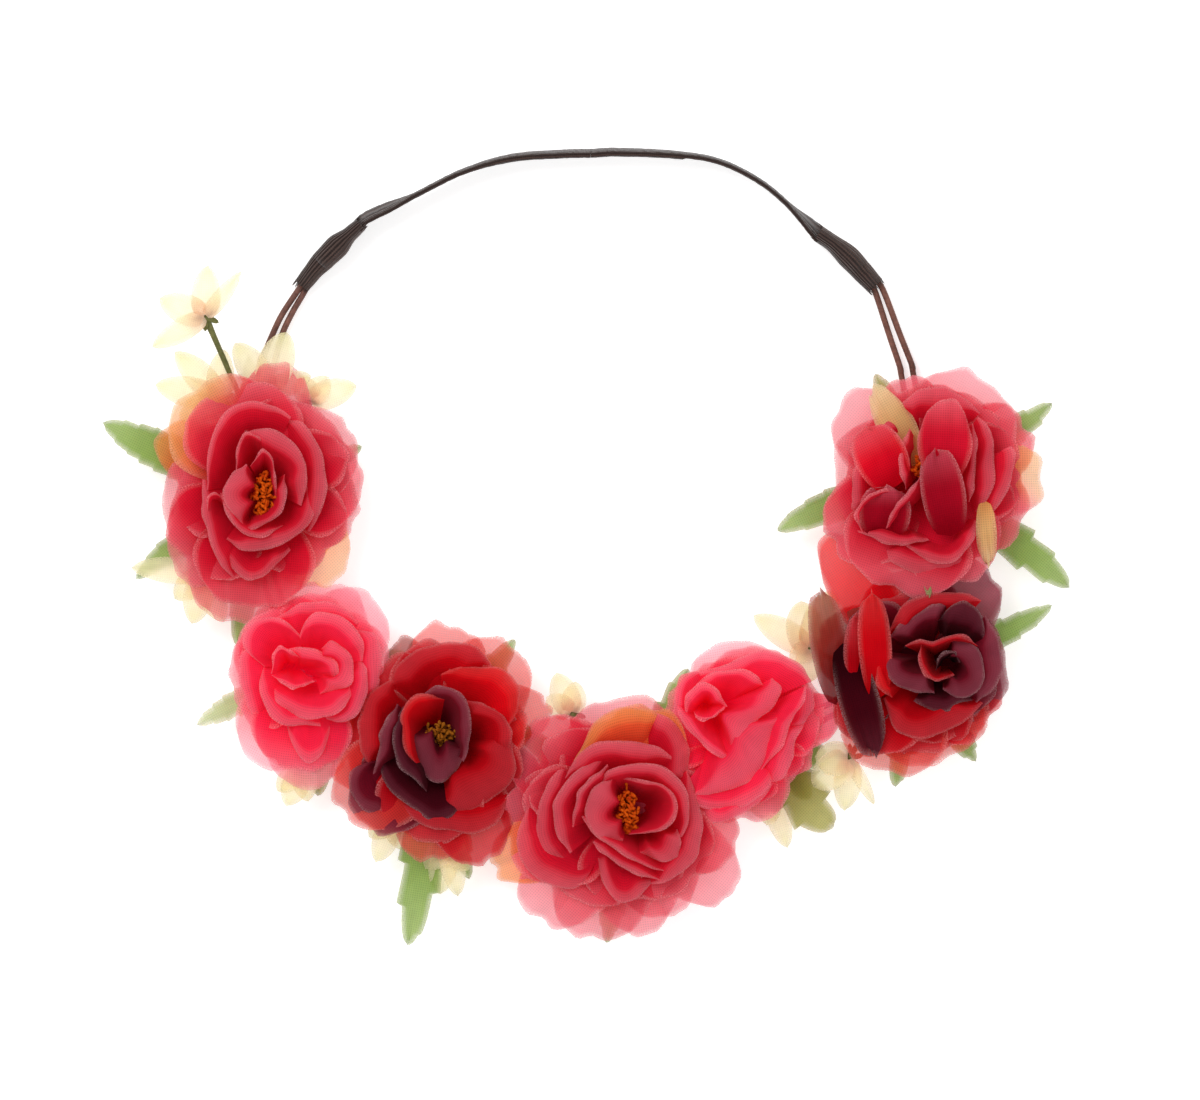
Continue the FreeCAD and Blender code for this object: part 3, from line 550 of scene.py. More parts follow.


# The spread petals of each rose: heading, reach from the hub, half width, dye, what differs.
FLOWERS = {
    "coral_rose_left": dict(
        outer=[(81, 34.5, 11, "coral_sheer", {"rise": 10}), (36, 29, 13, "coral_sheer"),
               (120, 32.5, 16, "coral_pale", {"patch": ("apricot", 0.35, 1.0, 0.45)}),
               (151, 31, 9, "orange", {"rise": 8}), (192, 26.5, 14, "coral_sheer"),
               (226, 31, 12, "coral_sheer"), (256, 36, 15, "coral_sheer", {"rise": 10}),
               (311, 31, 12, "apricot", {"rise": 8, "tip": -2}), (11, 27, 14, "coral_pale"),
               (344, 26.5, 12, "coral_sheer")],
        second=[(106, 28, 17, "coral_pale"), (52, 26, 16, "coral"), (8, 25, 15, "coral"),
                (318, 25, 14, "coral"), (265, 31, 17, "coral", {"rise": 14}), (222, 27, 15, "coral"),
                (168, 22, 16, "coral")]),
    "pink_rose_left": dict(
        outer=[(74, 24.5, 12, "pink_sheer"), (48, 26, 12, "pink_sheer"), (3, 22, 13, "pink_pale"),
               (322, 22, 12, "pink_pale"), (268, 31, 12, "pink_sheer"), (243, 28, 13, "pink_sheer"),
               (191, 21, 14, "pink_pale"), (140, 21, 13, "pink_pale")],
        second=[(66, 20, 14, "pink"), (128, 20, 14, "pink"), (188, 18, 14, "pink"), (10, 19, 13, "pink"),
                (262, 26, 14, "pink"), (318, 19, 13, "pink")]),
    "red_rose_left": dict(
        outer=[(84, 31, 12, "red_sheer", {"rise": 10}), (50, 32, 13, "red_sheer", {"rise": 8}),
               (17, 31, 9, "red_sheer"), (112, 29, 7, "wine_sheer", {"rise": 6}),
               (187, 30, 13, "red_sheer"), (217, 32, 13, "red_sheer", {"z": 13}),
               (266, 32.5, 11, "red_sheer"), (292, 35, 12, "red"), (0, 22, 15, "red")],
        second=[(84, 26, 15, "red"), (128, 25, 13, "red"), (32, 24, 15, "red_bright"),
                (178, 25, 14, "red"), (228, 30, 12, "wine"), (262, 27, 15, "red"), (308, 25, 16, "red"),
                (352, 21, 14, "red")],
        over=[(335, 30, 8, "wine_dark", {"start": 10.0, "z": 12.0, "rise": 6, "tip": -10}),
              (322, 33, 7, "wine_dark", {"start": 10.0, "z": 11.0, "rise": 2, "tip": -8})]),
    "coral_rose_front": dict(
        outer=[(93, 29.5, 16, "coral_sheer"), (74, 28, 12, "orange", {"z": 14}),
               (147, 34, 14, "coral_pale"), (195, 33.5, 16, "coral_pale"),
               (204, 39, 10, "orange", {"rise": 8}), (230, 38.5, 13, "coral_sheer", {"rise": 8}),
               (253, 36.5, 14, "coral_sheer", {"rise": 8}), (277, 34, 12, "coral_sheer", {"rise": 8}),
               (294, 31, 12, "coral_sheer", {"rise": 8}), (321, 36.5, 11, "coral_sheer", {"rise": 8}),
               (340, 31, 12, "coral_pale"), (15, 24, 13, "coral_pale")],
        second=[(100, 24, 16, "coral"), (62, 22, 14, "coral"), (150, 27, 15, "coral"),
                (196, 27, 17, "coral"), (236, 28, 15, "coral"), (276, 25, 15, "coral"),
                (312, 26, 15, "coral"), (348, 22, 14, "coral"), (22, 20, 13, "coral")]),
    "pink_rose_right": dict(
        outer=[(98, 25, 13, "pink_sheer"), (70, 23.5, 14, "pink_pale"), (38, 23, 13, "pink_pale"),
               (13, 26.5, 8, "pink"), (346, 19.5, 9, "pink"), (268, 23.5, 13, "pink_pale"),
               (304, 18, 11, "pink_pale"), (158, 22, 13, "pink_pale"), (130, 21, 12, "pink_pale"),
               (222, 19, 13, "pink_pale")],
        second=[(76, 20, 15, "pink"), (28, 20, 13, "pink"), (344, 15.5, 12, "pink"),
                (296, 17, 13, "pink"), (250, 18, 14, "pink"), (160, 19, 14, "pink"),
                (120, 19, 13, "pink")]),
    "red_rose_right": dict(
        outer=[(123, 42, 9, "red_bright", {"rise": 10}), (160, 26.5, 12, "brown_red"),
               (230, 26, 12, "red"), (252, 29, 15, "red_sheer"), (289, 26, 16, "red_sheer"),
               (325, 25, 13, "red"), (2, 25, 15, "wine"), (53, 33, 11, "wine", {"rise": 8}),
               (92, 26, 14, "wine", {"rise": 6})],
        second=[(95, 20, 14, "red"), (46, 21, 14, "wine"), (0, 22, 14, "wine"), (318, 21, 14, "red"),
                (276, 23, 15, "red"), (232, 25, 13, "red"), (196, 22, 12, "wine"), (150, 21, 13, "wine")],
        over=[laid(94, 4.6, "red_bright", (-9.4, -8.0), 19.0, 18, -2, 29),
              laid(91, 4.2, "red", (-14.4, -12.0), 17.0, 16, 2, 27),
              laid(100, 5.4, "brown_red", (-19.4, -10.0), 15.0, 12, -4, 31.5),
              laid(286, 5.8, "wine_dark", (-18.8, 6.6), 19.6, 4, -14, 31.5)]),
    "coral_rose_right": dict(
        outer=[(138, 31, 12, "coral_sheer"), (103, 28, 10, "coral_pale"),
               (121, 28.5, 5, "butter", {"z": 16.5}), (61, 30.5, 16, "coral_sheer"),
               (29, 30, 12, "coral_pale"),
               (0, 31, 11, "coral_sheer", {"patch": ("apricot", 0.4, 0.9, 0.4)}),
               (334, 28, 12, "coral_pale"), (171, 25.5, 14, "coral_sheer"),
               (214, 31, 13, "coral", {"z": 15}), (252, 31, 18, "coral", {"z": 15.5}),
               (290, 29, 14, "coral_pale", {"z": 15})],
        second=[(90, 25, 14, "coral"), (48, 25, 15, "coral"), (8, 25, 14, "coral"),
                (322, 24, 14, "coral"), (268, 25, 16, "coral"), (218, 25, 15, "coral"),
                (165, 22, 15, "coral"), (128, 22, 14, "coral")],
        over=[(88, 0, 8.0, "coral",
              {"start": 0.0, "shift": (3.6, -2.0), "z": 22.0, "rise": 18, "tip": 0, "length": 24,
               "wrap": (9.0, 14.0), "rounding": 0.36}),
              laid(100, 6.2, "coral_deep", (5.6, -15.0), 21.0, 22, 0, 24),
              laid(88, 7.6, "coral_deep", (-12.0, -15.0), 19.0, 22, 4, 13.6),
              laid(116, 7.6, "coral_bright", (-9.0, -2.0), 20.4, 16, 0, 18),
              laid(274, 2.8, "butter", (14.6, -5.6), 20.0, 2, -16, 18)]),
}

# The whorl of each rose, from its middle outwards, in millimetres from the rose's hub. A cup
# is (height of its fold, width of its lip, its root, its lip's outer edge, its dye if not the rose's own).
CUPS = {
    "coral_rose_left": [
        (25.5, 1.0, (0.5, 0), [(-2.4, 6.4), (-0.4, 9.6), (1.4, 11), (3.6, 8.6), (4.2, 4), (4.4, -1.5)]),
        (26.0, 5.4, (1.6, -1), [(-3.4, 7), (-6.6, 5.4), (-8.8, 2), (-9.4, -2), (-7.4, -6), (-4.6, -9.2)]),
        (24.8, 1.9, (0, 1), [(7, 4.5), (7.2, 0), (6, -5), (2.4, -8.8), (-1.6, -10.4), (-5, -10.6)]),
        (24.4, 1.2, (0, 2), [(-6.4, 5), (-6.4, 10), (-4.2, 15), (-1, 15), (2.4, 12)]),
        (24.0, 1.7, (-1, 0), [(-10.6, -0.6), (-8.6, -5.6), (-5.6, -10.6), (-2, -12.5), (2.4, -11.8),
         (6.4, -9.6)]),
        (24.4, 3.7, (0, 1), [(-4, 15.2), (0, 16.6), (5, 15.2), (9.6, 12), (12.3, 7.4), (12.4, 2),
         (11, -4)]),
        (22.8, 3.2, (0, 0), [(13.2, 1), (14.6, -6), (12, -10.4), (7, -13.4), (0, -15.9), (-5, -16),
         (-9, -13)]),
        (22.4, 0.9, (-9.6, -8), [(-14, -7), (-13.8, -1.8), (-11.8, -0.2), (-9.8, -1.8), (-8.8, -6)]),
        (22.0, 2.2, (-1, 2), [(-14.2, 0), (-13.8, 10), (-11.6, 17), (-7, 22.4), (-2, 24), (3.6, 22.5),
         (8, 19)]),
        (20.5, 2.8, (0, 0), [(-15, 3), (-15.6, -5), (-13.4, -12), (-11, -19), (-7, -23.5)]),
        (20.0, 2.8, (0, 0), [(-10.6, -15), (-8, -20), (-4, -23.6), (0, -23), (4, -20.2), (8, -15.6)]),
        (20.5, 3.4, (0, 0), [(7, 19.5), (12.5, 16.5), (16.4, 10), (17.6, 3), (16.4, -5), (13, -11)]),
    ],
    "pink_rose_left": [
        (24.0, 1.0, (-5.5, 1), [(-10, -0.4), (-9.5, 4.5), (-7.5, 6.9), (-5, 6.1), (-2.2, 4)]),
        (23.8, 1.3, (-4, 2), [(-9.8, -0.8), (-7, -2.9), (-4, -4.4), (-1, -3.8), (1.4, -2.4)]),
        (23.4, 2.8, (-3, 0), [(-5.4, 6.2), (0, 6.5), (5.4, 4.5), (8, 1.2), (7, -2.4)]),
        (22.8, 4.0, (1, 1), [(3.4, 6.4), (6, 8.2), (9.6, 6.2), (11.9, 2.6), (11, -2.6), (7.6, -4.6),
         (3, -6)]),
        (22.4, 3.4, (0, 1), [(-10.4, -3.6), (-9.4, -7), (-6.6, -10), (-2.6, -12), (2.4, -12.4),
         (7.4, -10.8), (11, -7), (11.4, -4)]),
        (22.0, 3.2, (0, 1), [(-2.6, 9.6), (-0.6, 14), (3, 15.8), (8, 15.2), (12.2, 12), (14.3, 8),
         (14.2, 3)]),
        (21.5, 2.2, (-2, 1), [(-12, 1.5), (-16.6, 5.6), (-17, 10), (-14.6, 13.5), (-10.4, 14.7),
         (-6, 13.2), (-2, 9.6)]),
        (20.5, 2.8, (0, 0), [(13, 4), (15.4, 0), (15.6, -5), (13.6, -10), (9, -13.4), (4.6, -12.5)]),
        (20.5, 3.0, (0, 0), [(-12.6, 2), (-13.4, -4), (-11.4, -9.6), (-7, -14), (-2, -14.4), (3, -14)]),
        (18.5, 3.6, (0, 1), [(13, 11.4), (17.6, 10), (19, 4), (18.4, -3), (16, -7)]),
        (18.5, 3.0, (0, -2), [(-6, -14), (-4, -20.6), (0, -24), (4, -21), (6, -13.6)]),
        (18.5, 3.0, (0, 0), [(-13, 8), (-17.8, 5), (-18.6, -1), (-17, -8), (-12, -14)]),
        (18.5, 3.0, (0, 0), [(-9, 14), (-4, 17.6), (2, 18.6), (9, 17.6), (13, 13)]),
    ],
    "red_rose_left": [
        (22.0, 8.0, (0.6, 5), [(-7.6, 2.4), (-6.8, -4.4), (-3, -9.6), (0.6, -11.2), (4.6, -8.6),
         (8.2, -2)], "wine"),
        (24.0, 2.7, (0, 2), [(-3.4, 12.4), (0, 14.6), (4.2, 13.7), (7.6, 10.6), (8.9, 5), (8.7, -1),
         (6.6, -5.4)], "wine"),
        (23.6, 2.2, (0, 2), [(2, 11.4), (-3, 12.3), (-7.2, 11), (-9.8, 7), (-9.8, 1.6), (-8.2, -3.6),
         (-5, -7.6)], "red_bright"),
        (22.6, 2.6, (0, 1), [(-9, 9), (-11.6, 4), (-11.8, -2), (-9.6, -7.4), (-5.4, -11.4),
         (-3, -14)], "wine_dark"),
        (21.5, 9.0, (0, 0), [(0, -17.6), (6, -19.2), (12, -17.2), (18, -13), (20.6, -7.6), (19.8, -2),
         (19.2, 4)]),
        (21.8, 2.8, (-1, 0), [(-11, 10), (-13.6, 5.4), (-15.6, 1), (-15.8, -4), (-17, -9)], "wine"),
        (20.5, 3.4, (0, 0), [(-15.4, -4), (-14.6, -11), (-10, -15.6), (-4.4, -19.4), (0, -21.9),
         (3.8, -20.4), (7, -16.4)], "wine_dark"),
        (21.0, 3.6, (0, 0), [(8, 10.5), (13, 9.4), (17.6, 6.4), (19.6, 1), (18.6, -5)]),
        (21.0, 4.4, (0, 2), [(1, 17.6), (7, 19.6), (13, 19.6), (18, 18.4), (21.4, 14), (21.6, 8.6),
         (19, 4)], "red_bright"),
        (19.5, 5.0, (0, 2), [(-13, 13), (-11, 19.6), (-5.4, 24), (0.4, 25.4), (6, 26), (10.6, 24.6),
         (14.4, 19)]),
        (19.5, 4.6, (0, 0), [(-10.4, 16.6), (-17.6, 13), (-20.6, 6), (-20.8, -1), (-18, -8)]),
        (18.5, 5.0, (0, 0), [(-12, -15), (-5, -22), (2, -24), (9, -24.6), (15.4, -22), (19, -15)]),
        (18.0, 3.6, (-2, -2), [(-17, -4.6), (-22.6, -8), (-23.4, -13), (-20, -18.4),
         (-12.4, -20)], "wine"),
    ],
    "coral_rose_front": [
        (25.5, 6.4, (1.5, 0), [(-3.6, 8.6), (-8.6, 5.2), (-11.2, 0.4), (-10.4, -4), (-6.4, -7.8),
         (-1, -8.6)]),
        (25.0, 1.3, (2, 0), [(-2.4, 8.4), (4, 7.5), (9.6, 6.4), (13.2, 3), (13.2, -1.6), (10.2, -5.2),
         (5, -6.8), (0.6, -7)]),
        (24.4, 2.8, (0, 0), [(-7.4, 6), (-5, 9.8), (1.4, 12), (9, 11.4), (14.2, 7.4), (16.8, 2),
         (16.8, -3), (14.4, -7.6)]),
        (24.0, 5.0, (2, -2), [(3.6, -12), (9, -14), (13.2, -13.2), (14.6, -10), (13.4, -5.6)]),
        (23.8, 1.8, (0, 0), [(-11.6, -2), (-9.4, -6.4), (-4, -10.2), (1, -13.2), (6, -15.8),
         (10, -16.6)]),
        (23.4, 1.7, (0, 0), [(-14.2, -5), (-13.6, 2.6), (-9.6, 8), (-5, 11.6)]),
        (22.6, 2.0, (0, 0), [(-9, -9), (-6, -12.4), (-1, -15.6), (4, -18), (9.4, -19.4)]),
        (22.4, 3.2, (0, 0), [(-15, -12), (-19, -6), (-19.4, 0.6), (-16.4, 6.4), (-11.6, 11.4), (-6, 14)]),
        (22.0, 4.0, (0, 0), [(-16.4, 8), (-13, 14.4), (-7, 17.4), (0, 18), (6.6, 16.8), (13, 12.6)]),
        (21.0, 4.4, (0, 0), [(16, 10), (19, 3), (20, -5), (18.6, -13), (13, -18.6), (6.6, -20)]),
        (20.0, 3.4, (0, 0), [(-16, -14.6), (-22.8, -10.6), (-24.2, -3), (-21.6, 5), (-16.4, 11.6)]),
        (19.0, 4.0, (0, 0), [(8, -18), (2, -24.6), (-3, -24.4), (-7, -18), (-8, -13)]),
        (19.0, 5.0, (0, 0), [(-8, -13), (-12, -20.4), (-19, -20.6), (-26, -17), (-29, -9), (-26, 1)]),
        (20.0, 4.5, (0, 2), [(-14, 12.5), (-8.6, 22.4), (-2, 26.6), (5, 26.4), (11, 23)], "orange"),
        (19.4, 5.0, (0, 2), [(4, 25.6), (11, 24), (15.6, 18.6), (16.4, 12), (15, 7)]),
    ],
    "pink_rose_right": [
        (25.0, 2.2, (-10.5, 7), [(-15.4, 5.4), (-15.2, 10.6), (-12, 13.4), (-8.6, 13), (-5.6, 10.4),
         (-4.4, 7.4)]),
        (25.2, 0.9, (-10.2, 9), [(-13.4, 6), (-12.4, 4), (-9.8, 3.8), (-7.2, 5), (-5.2, 7.4)]),
        (24.2, 2.6, (-9, 6), [(-17.4, 8), (-16.6, 3.6), (-13.6, 0), (-10, -3.4), (-5.6, -6.4),
         (-2.6, -6)]),
        (24.0, 7.4, (-9, 7), [(-4, -7), (0, -1.4), (4, 3.6), (8, 7.4), (9.6, 12), (7.6, 15)]),
        (22.6, 10.0, (-7, 6), [(-13, -16), (-6, -15.6), (1, -12.6), (6, -7), (9.6, 0), (11, 6)]),
        (22.6, 2.0, (-7, 6), [(-13.6, 12.6), (-8, 16.6), (-1, 17.3), (3.4, 15.4), (6.6, 12.6)]),
        (22.0, 2.3, (-3, 3), [(4.6, -10), (10, -3.4), (12.6, 3), (15.6, 8), (16.6, 13)]),
        (20.6, 3.6, (-4, 5), [(-12.4, 16), (-6, 18.4), (-1, 20.4), (4, 22.2), (10, 21.4), (15, 18.6),
         (18, 14)]),
        (21.5, 2.4, (-8, 6), [(-17.6, 5), (-18.4, 9), (-17.8, 13.4), (-15.4, 16.2), (-12, 16.6)]),
        (20.0, 3.2, (-3, 2), [(-14.6, -12), (-12.4, -18.6), (-6, -20.2), (-1, -19.2), (3.4, -17),
         (7.2, -13), (8.4, -7.6)]),
        (19.4, 3.6, (-2, 2), [(6, -14), (10, -11.6), (13, -6), (14.6, 0), (16.6, 3.6)]),
        (18.6, 3.6, (-2, 2), [(15, 12.6), (18.2, 12), (18.6, 7), (16.6, 3.6), (12.6, 1)]),
        (18.0, 4.0, (-3, 2), [(-13, -18), (-8, -23.4), (-1, -21.6), (5, -17), (9.6, -11.6)]),
    ],
    "red_rose_right": [
        (24.6, 0.9, (8.6, 1.6), [(5.6, -0.6), (5.8, 2.6), (8, 4.6), (10.8, 4.6), (12, 1.6)], "wine_dark"),
        (24.8, 1.3, (7.4, 2.4), [(1.8, 6.6), (1, 1.6), (3.4, -2.5), (6.6, -3.5), (10.6, -1.6)]),
        (24.2, 5.6, (8, 2), [(9, 8.4), (13, 8), (16.8, 5.2), (18.6, 0), (18, -4.4), (15, -7.9),
         (11, -7.6), (7.6, -5.6)], "wine"),
        (24.2, 1.6, (6, 2), [(-2.6, 6), (0.6, 7.6), (4.4, 7.4), (8.6, 8.6), (13, 8.8), (17, 6)]),
        (23.4, 5.0, (5, 3), [(-8.6, 4.6), (-8.4, 1.4), (-6.6, -2), (-3, -5.4), (1.4, -6.6),
         (5.4, -6.4)], "wine"),
        (22.6, 5.4, (8, 2), [(6.4, 13), (10.4, 17), (15, 17.2), (18.2, 14), (18.4, 8)], "wine_dark"),
        (22.0, 3.4, (5, 2), [(-6.6, 8.6), (-2, 13), (4, 16.4), (9.6, 17.6)], "wine"),
        (21.4, 3.4, (6, 0), [(0, -8.6), (4, -11), (8.4, -11.4), (12, -9.4), (16, -8.6)], "wine_dark"),
        (21.0, 4.6, (8, 0), [(19, 14), (22.8, 7), (23.4, 0), (20.6, -6), (16.6, -9)], "wine"),
        (20.6, 4.0, (4, 2), [(-6.6, 9.6), (-3.4, 16.6), (4, 19.6), (12, 20.4), (18, 18)]),
        (20.0, 5.6, (4, 0), [(-8, -8), (-5.6, -15.6), (0, -18.4), (7.6, -17.4), (13.6, -14), (18, -9)]),
        (21.6, 2.2, (0, -2), [(-9, 6), (-10.6, 0), (-9.6, -5), (-6, -8)], "red_bright"),
    ],
    "coral_rose_right": [
        (24.6, 1.5, (0, 4), [(-5, 13.4), (-7.4, 9), (-8, 3), (-6.4, -3)]),
        (25.0, 1.5, (0, -8), [(-11.4, -13), (-9.8, -8), (-6, -3.4), (-1.6, 2)]),
        (23.6, 1.0, (-9, -11), [(-17.6, -14), (-19.8, -9.4), (-17, -5), (-12, -2.6), (-7, -3.2)]),
        (22.6, 2.6, (-8, -8), [(-19.6, -13.6), (-12, -16.8), (-5, -17.4), (0, -16)]),
        (22.6, 2.6, (2, -8), [(-6, -17.6), (-2, -21), (3, -22.4), (8, -20.8), (11.6, -16.4),
         (12.8, -11)]),
        (23.0, 2.0, (2, 2), [(11.6, 15), (12.8, 8), (12.2, 0), (10.6, -6)]),
        (22.0, 3.4, (2, 0), [(13, 16.6), (16.8, 12), (17.4, 5), (16.6, -3), (13, -9)]),
        (21.0, 3.0, (3, 0), [(17.4, 5), (21.6, 8.6), (22.8, 3), (20, -5), (15.6, -10)]),
        (20.6, 3.4, (0, 2), [(-8.6, 15), (-11.6, 16), (-14, 11), (-13.6, 4), (-12, -2)]),
        (20.6, 3.0, (0, 0), [(-14, 8), (-19.4, 3), (-20.8, -4), (-20, -10)]),
        (20.2, 4.6, (0, -4), [(-14, -17.6), (-8, -23), (0, -25.4), (8, -24.4), (13, -20)]),
        (20.4, 4.6, (0, 4), [(-9, 19), (-4, 23), (2, 24.4), (8, 23), (13.6, 17.6)]),
    ],
}
CUP_LOW = {"coral": 13.0, "pink": 16.0, "red": 13.0}
INNER_CUPS = 6
HEART_LENGTH, HEART_WIDTH = 14.0, 7.0
HEART_DYE = {"coral": "coral_deep", "pink": "pink", "red": "wine_dark"}
CLOTHS = {kind: cloth(kind + "_cloth") for kind in ("coral", "pink", "red")}


def make_rose(rose, number):
    kind = rose.split("_")[0]
    hub, plan, low = hub_of(rose), FLOWERS[rose], CUP_LOW[kind]
    outer, middle, inner = (Piece("{}_{}_cloth".format(rose, part)) for part in ("outer", "middle", "inner"))
    ring(outer, hub, plan["outer"], number * 5, OUTER)
    ring(middle, hub, plan["second"], number * 5 + 1, SECOND)
    for index, (top, lip, root, edge, *dye) in enumerate(CUPS[rose]):
        cup(inner if index < INNER_CUPS else middle, hub, top, lip, (dye or [kind])[0], root, edge,
            number * 40 + index, low)
    ring(inner, hub, plan.get("over", ()), number * 5 + 3, SECOND)
    petal(inner, (hub[0] - HEART_LENGTH / 2, hub[1], low - 0.4), 0.0, 4, -4, length=HEART_LENGTH,
          width=HEART_WIDTH, dye=HEART_DYE[kind], wrap=(60.0, 60.0), lip=0, roll=0, ruffle=0, foot=0.8,
          rounding=0.4, seed=number + 90)
    for piece, node in ((outer, "outer_petals"), (middle, "middle_petals"), (inner, "inner_petals")):
        piece.build(CLOTHS[kind], "wreath", kind + "_cloth", rose + "_" + node)


for number, rose in enumerate(ROSES):
    make_rose(rose, number)


# ---------------------------------------------------------------- tubes and small solids

def unit(v):
    v = np.array(v, dtype=float)
    return v / max(np.linalg.norm(v), 1e-9)


def loft(piece, path, section, sides=24, girth=2.0, up=(0, 0, 1)):
    """A closed solid along a path.

    section(index, share, angles) gives its (sideways, upwards) outline in millimetres at a point of the path,
    and girth is how far the flat map goes for each radian round it there.
    """
    path = np.array(path, dtype=float)
    girth = np.ones(len(path)) * girth
    around = np.linspace(0, 2 * math.pi, sides + 1)[:-1]
    steps = distances(path)
    rows, flats = [], []
    for i, point in enumerate(path):
        forward = unit(path[min(i + 1, len(path) - 1)] - path[max(i - 1, 0)])
        side = unit(np.cross(forward, up))
        over = unit(np.cross(side, forward))
        across, high = section(i, steps[i] / steps[-1], around)
        rows.append(point + side * across[:, None] + over * high[:, None])
        flats.append(np.stack([around * girth[i], np.full_like(around, steps[i])], axis=1))
    piece.grid(np.array(rows), np.array(flats), closed=True)


def wire_tube(piece, path, radius, sides=10):
    """A round solid along a path; radius is a number or one for each point."""
    path = np.array(path, dtype=float)
    radius = np.ones(len(path)) * radius
    steep = abs(unit(path[-1] - path[0])[2]) > 0.9

    def section(index, share, around):
        return radius[index] * np.cos(around), radius[index] * np.sin(around)

    loft(piece, path, section, sides, radius, (1, 0, 0) if steep else (0, 0, 1))


# ---------------------------------------------------------------- leaves

LEAF_CLOTH = cloth("leaf_cloth", glow=0.35, contrast=0.34, pitch=0.6, sheen=0.04, open_weave=0.1)

# Tip in millimetres, half width, dye, height of the tip, teeth, how deep they are, curl at the tip, sideways
# bend.
LEAVES = {
    "coral_rose_left": [
        ((-128.0, 13.2), 6.0, "leaf", 9.0, 9, 0.14, -20, -10),
        ((-119.2, -28.4), 4.2, "leaf", 8.0, 7, 0.16, -10, 16),
        ((-59.3, 7.0), 3.6, "leaf", 7.0, 6, 0.2, -10, 10),
        ((-92.6, -46.0), 4.4, "leaf", 7.0, 6, 0.15, 0, 0),
        ((-89.5, 31.0), 3.6, "leaf", 4.0, 5, 0.15, 0, 0)],
    "pink_rose_left": [
        ((-103.0, -67.2), 3.8, "leaf_pale", 8.0, 7, 0.2, -10, 14),
        ((-71.0, -86.0), 5.0, "olive", 7.0, 5, 0.15, 0, -20)],
    "red_rose_left": [
        ((-47.0, -125.5), 6.8, "leaf", 7.5, 4, 0.34, -12, -6),
        ((-30.7, -108.0), 4.2, "leaf", 8.0, 5, 0.2, 0, 10),
        ((-18.6, -44.5), 4.2, "leaf", 8.0, 5, 0.15, 0, 0)],
    "coral_rose_front": [
        ((5.8, -125.0), 4.4, "leaf", 7.0, 6, 0.2, 0, 0),
        ((-20.8, -64.2), 3.4, "leaf", 15.0, 4, 0.15, 0, -20),
        ((27.3, -52.2), 5.8, "leaf", 9.0, 5, 0.28, 0, 12)],
    "pink_rose_right": [
        ((65.8, -94.4), 8.8, "olive", 7.0, 4, 0.4, -8, 14),
        ((47.0, -92.0), 5.6, "olive", 6.5, 3, 0.3, -10, -10),
        ((65.0, -77.4), 5.0, "leaf", 6.4, 4, 0.15, -20, -14),
        ((60.0, -86.6), 4.6, "olive", 6.4, 3, 0.3, 0, 0)],
    "red_rose_right": [
        ((124.0, -35.3), 4.0, "leaf", 8.0, 6, 0.16, -10, 18),
        ((103.8, -76.8), 4.4, "leaf", 8.0, 4, 0.26, -15, 0),
        ((82.4, -83.5), 4.2, "leaf", 8.0, 3, 0.3, -15, 0)],
    "coral_rose_right": [
        ((51.2, -15.6), 5.0, "leaf", 8.0, 6, 0.12, -12, 22),
        ((128.6, -30.6), 6.0, "leaf", 9.0, 5, 0.3, -22, -8),
        ((124.0, 18.4), 4.4, "leaf", 8.0, 5, 0.24, -5, 16),
        ((77.0, 26.0), 4.0, "olive", 10.0, 4, 0.15, 0, 0),
        ((91.0, -33.5), 2.6, "leaf", 20.0, 3, 0.15, 0, 0)],
}
LEAF_START = 9.5
LEAF_LEVEL = 6.5


def make_leaves(rose, number):
    hub = hub_of(rose)
    piece = Piece(rose + "_leaf_cloth")
    for index, (tip, width, dye, top, teeth, depth, curl, bow) in enumerate(LEAVES[rose]):
        dx, dy = tip[0] - hub[0], tip[1] - hub[1]
        reach = math.hypot(dx, dy) - LEAF_START
        a = math.atan2(dy, dx)
        level = LEAF_LEVEL - 0.8 * (index % 2)
        rise = math.degrees(math.atan2(top - level, reach))
        base = (hub[0] + LEAF_START * math.cos(a), hub[1] + LEAF_START * math.sin(a), level)
        petal(piece, base, math.degrees(a) - bow / 2, rise + 7, rise - 7, reach=reach, width=width, dye=dye,
              wrap=(9.0, 14.0), lip=curl, roll=0.3, ruffle=0.5, form="leaf", rows=61, cols=11, teeth=teeth,
              depth=depth, seed=number * 17 + index, lean=bow, bend=1.0, crease=0.3)
    piece.build(LEAF_CLOTH, "wreath", "leaf", rose + "_leaves")


for number, rose in enumerate(ROSES):
    make_leaves(rose, number)


# ---------------------------------------------------------------- small cream blossoms

STEM = solid("stem_green", (80, 82, 44), (124, 124, 76), rough=0.7, bump=0.4, specular=0.15)
CREAM_CLOTH = cloth("cream_cloth", glow=0.58, contrast=0.12, pitch=0.6, open_weave=0.08)

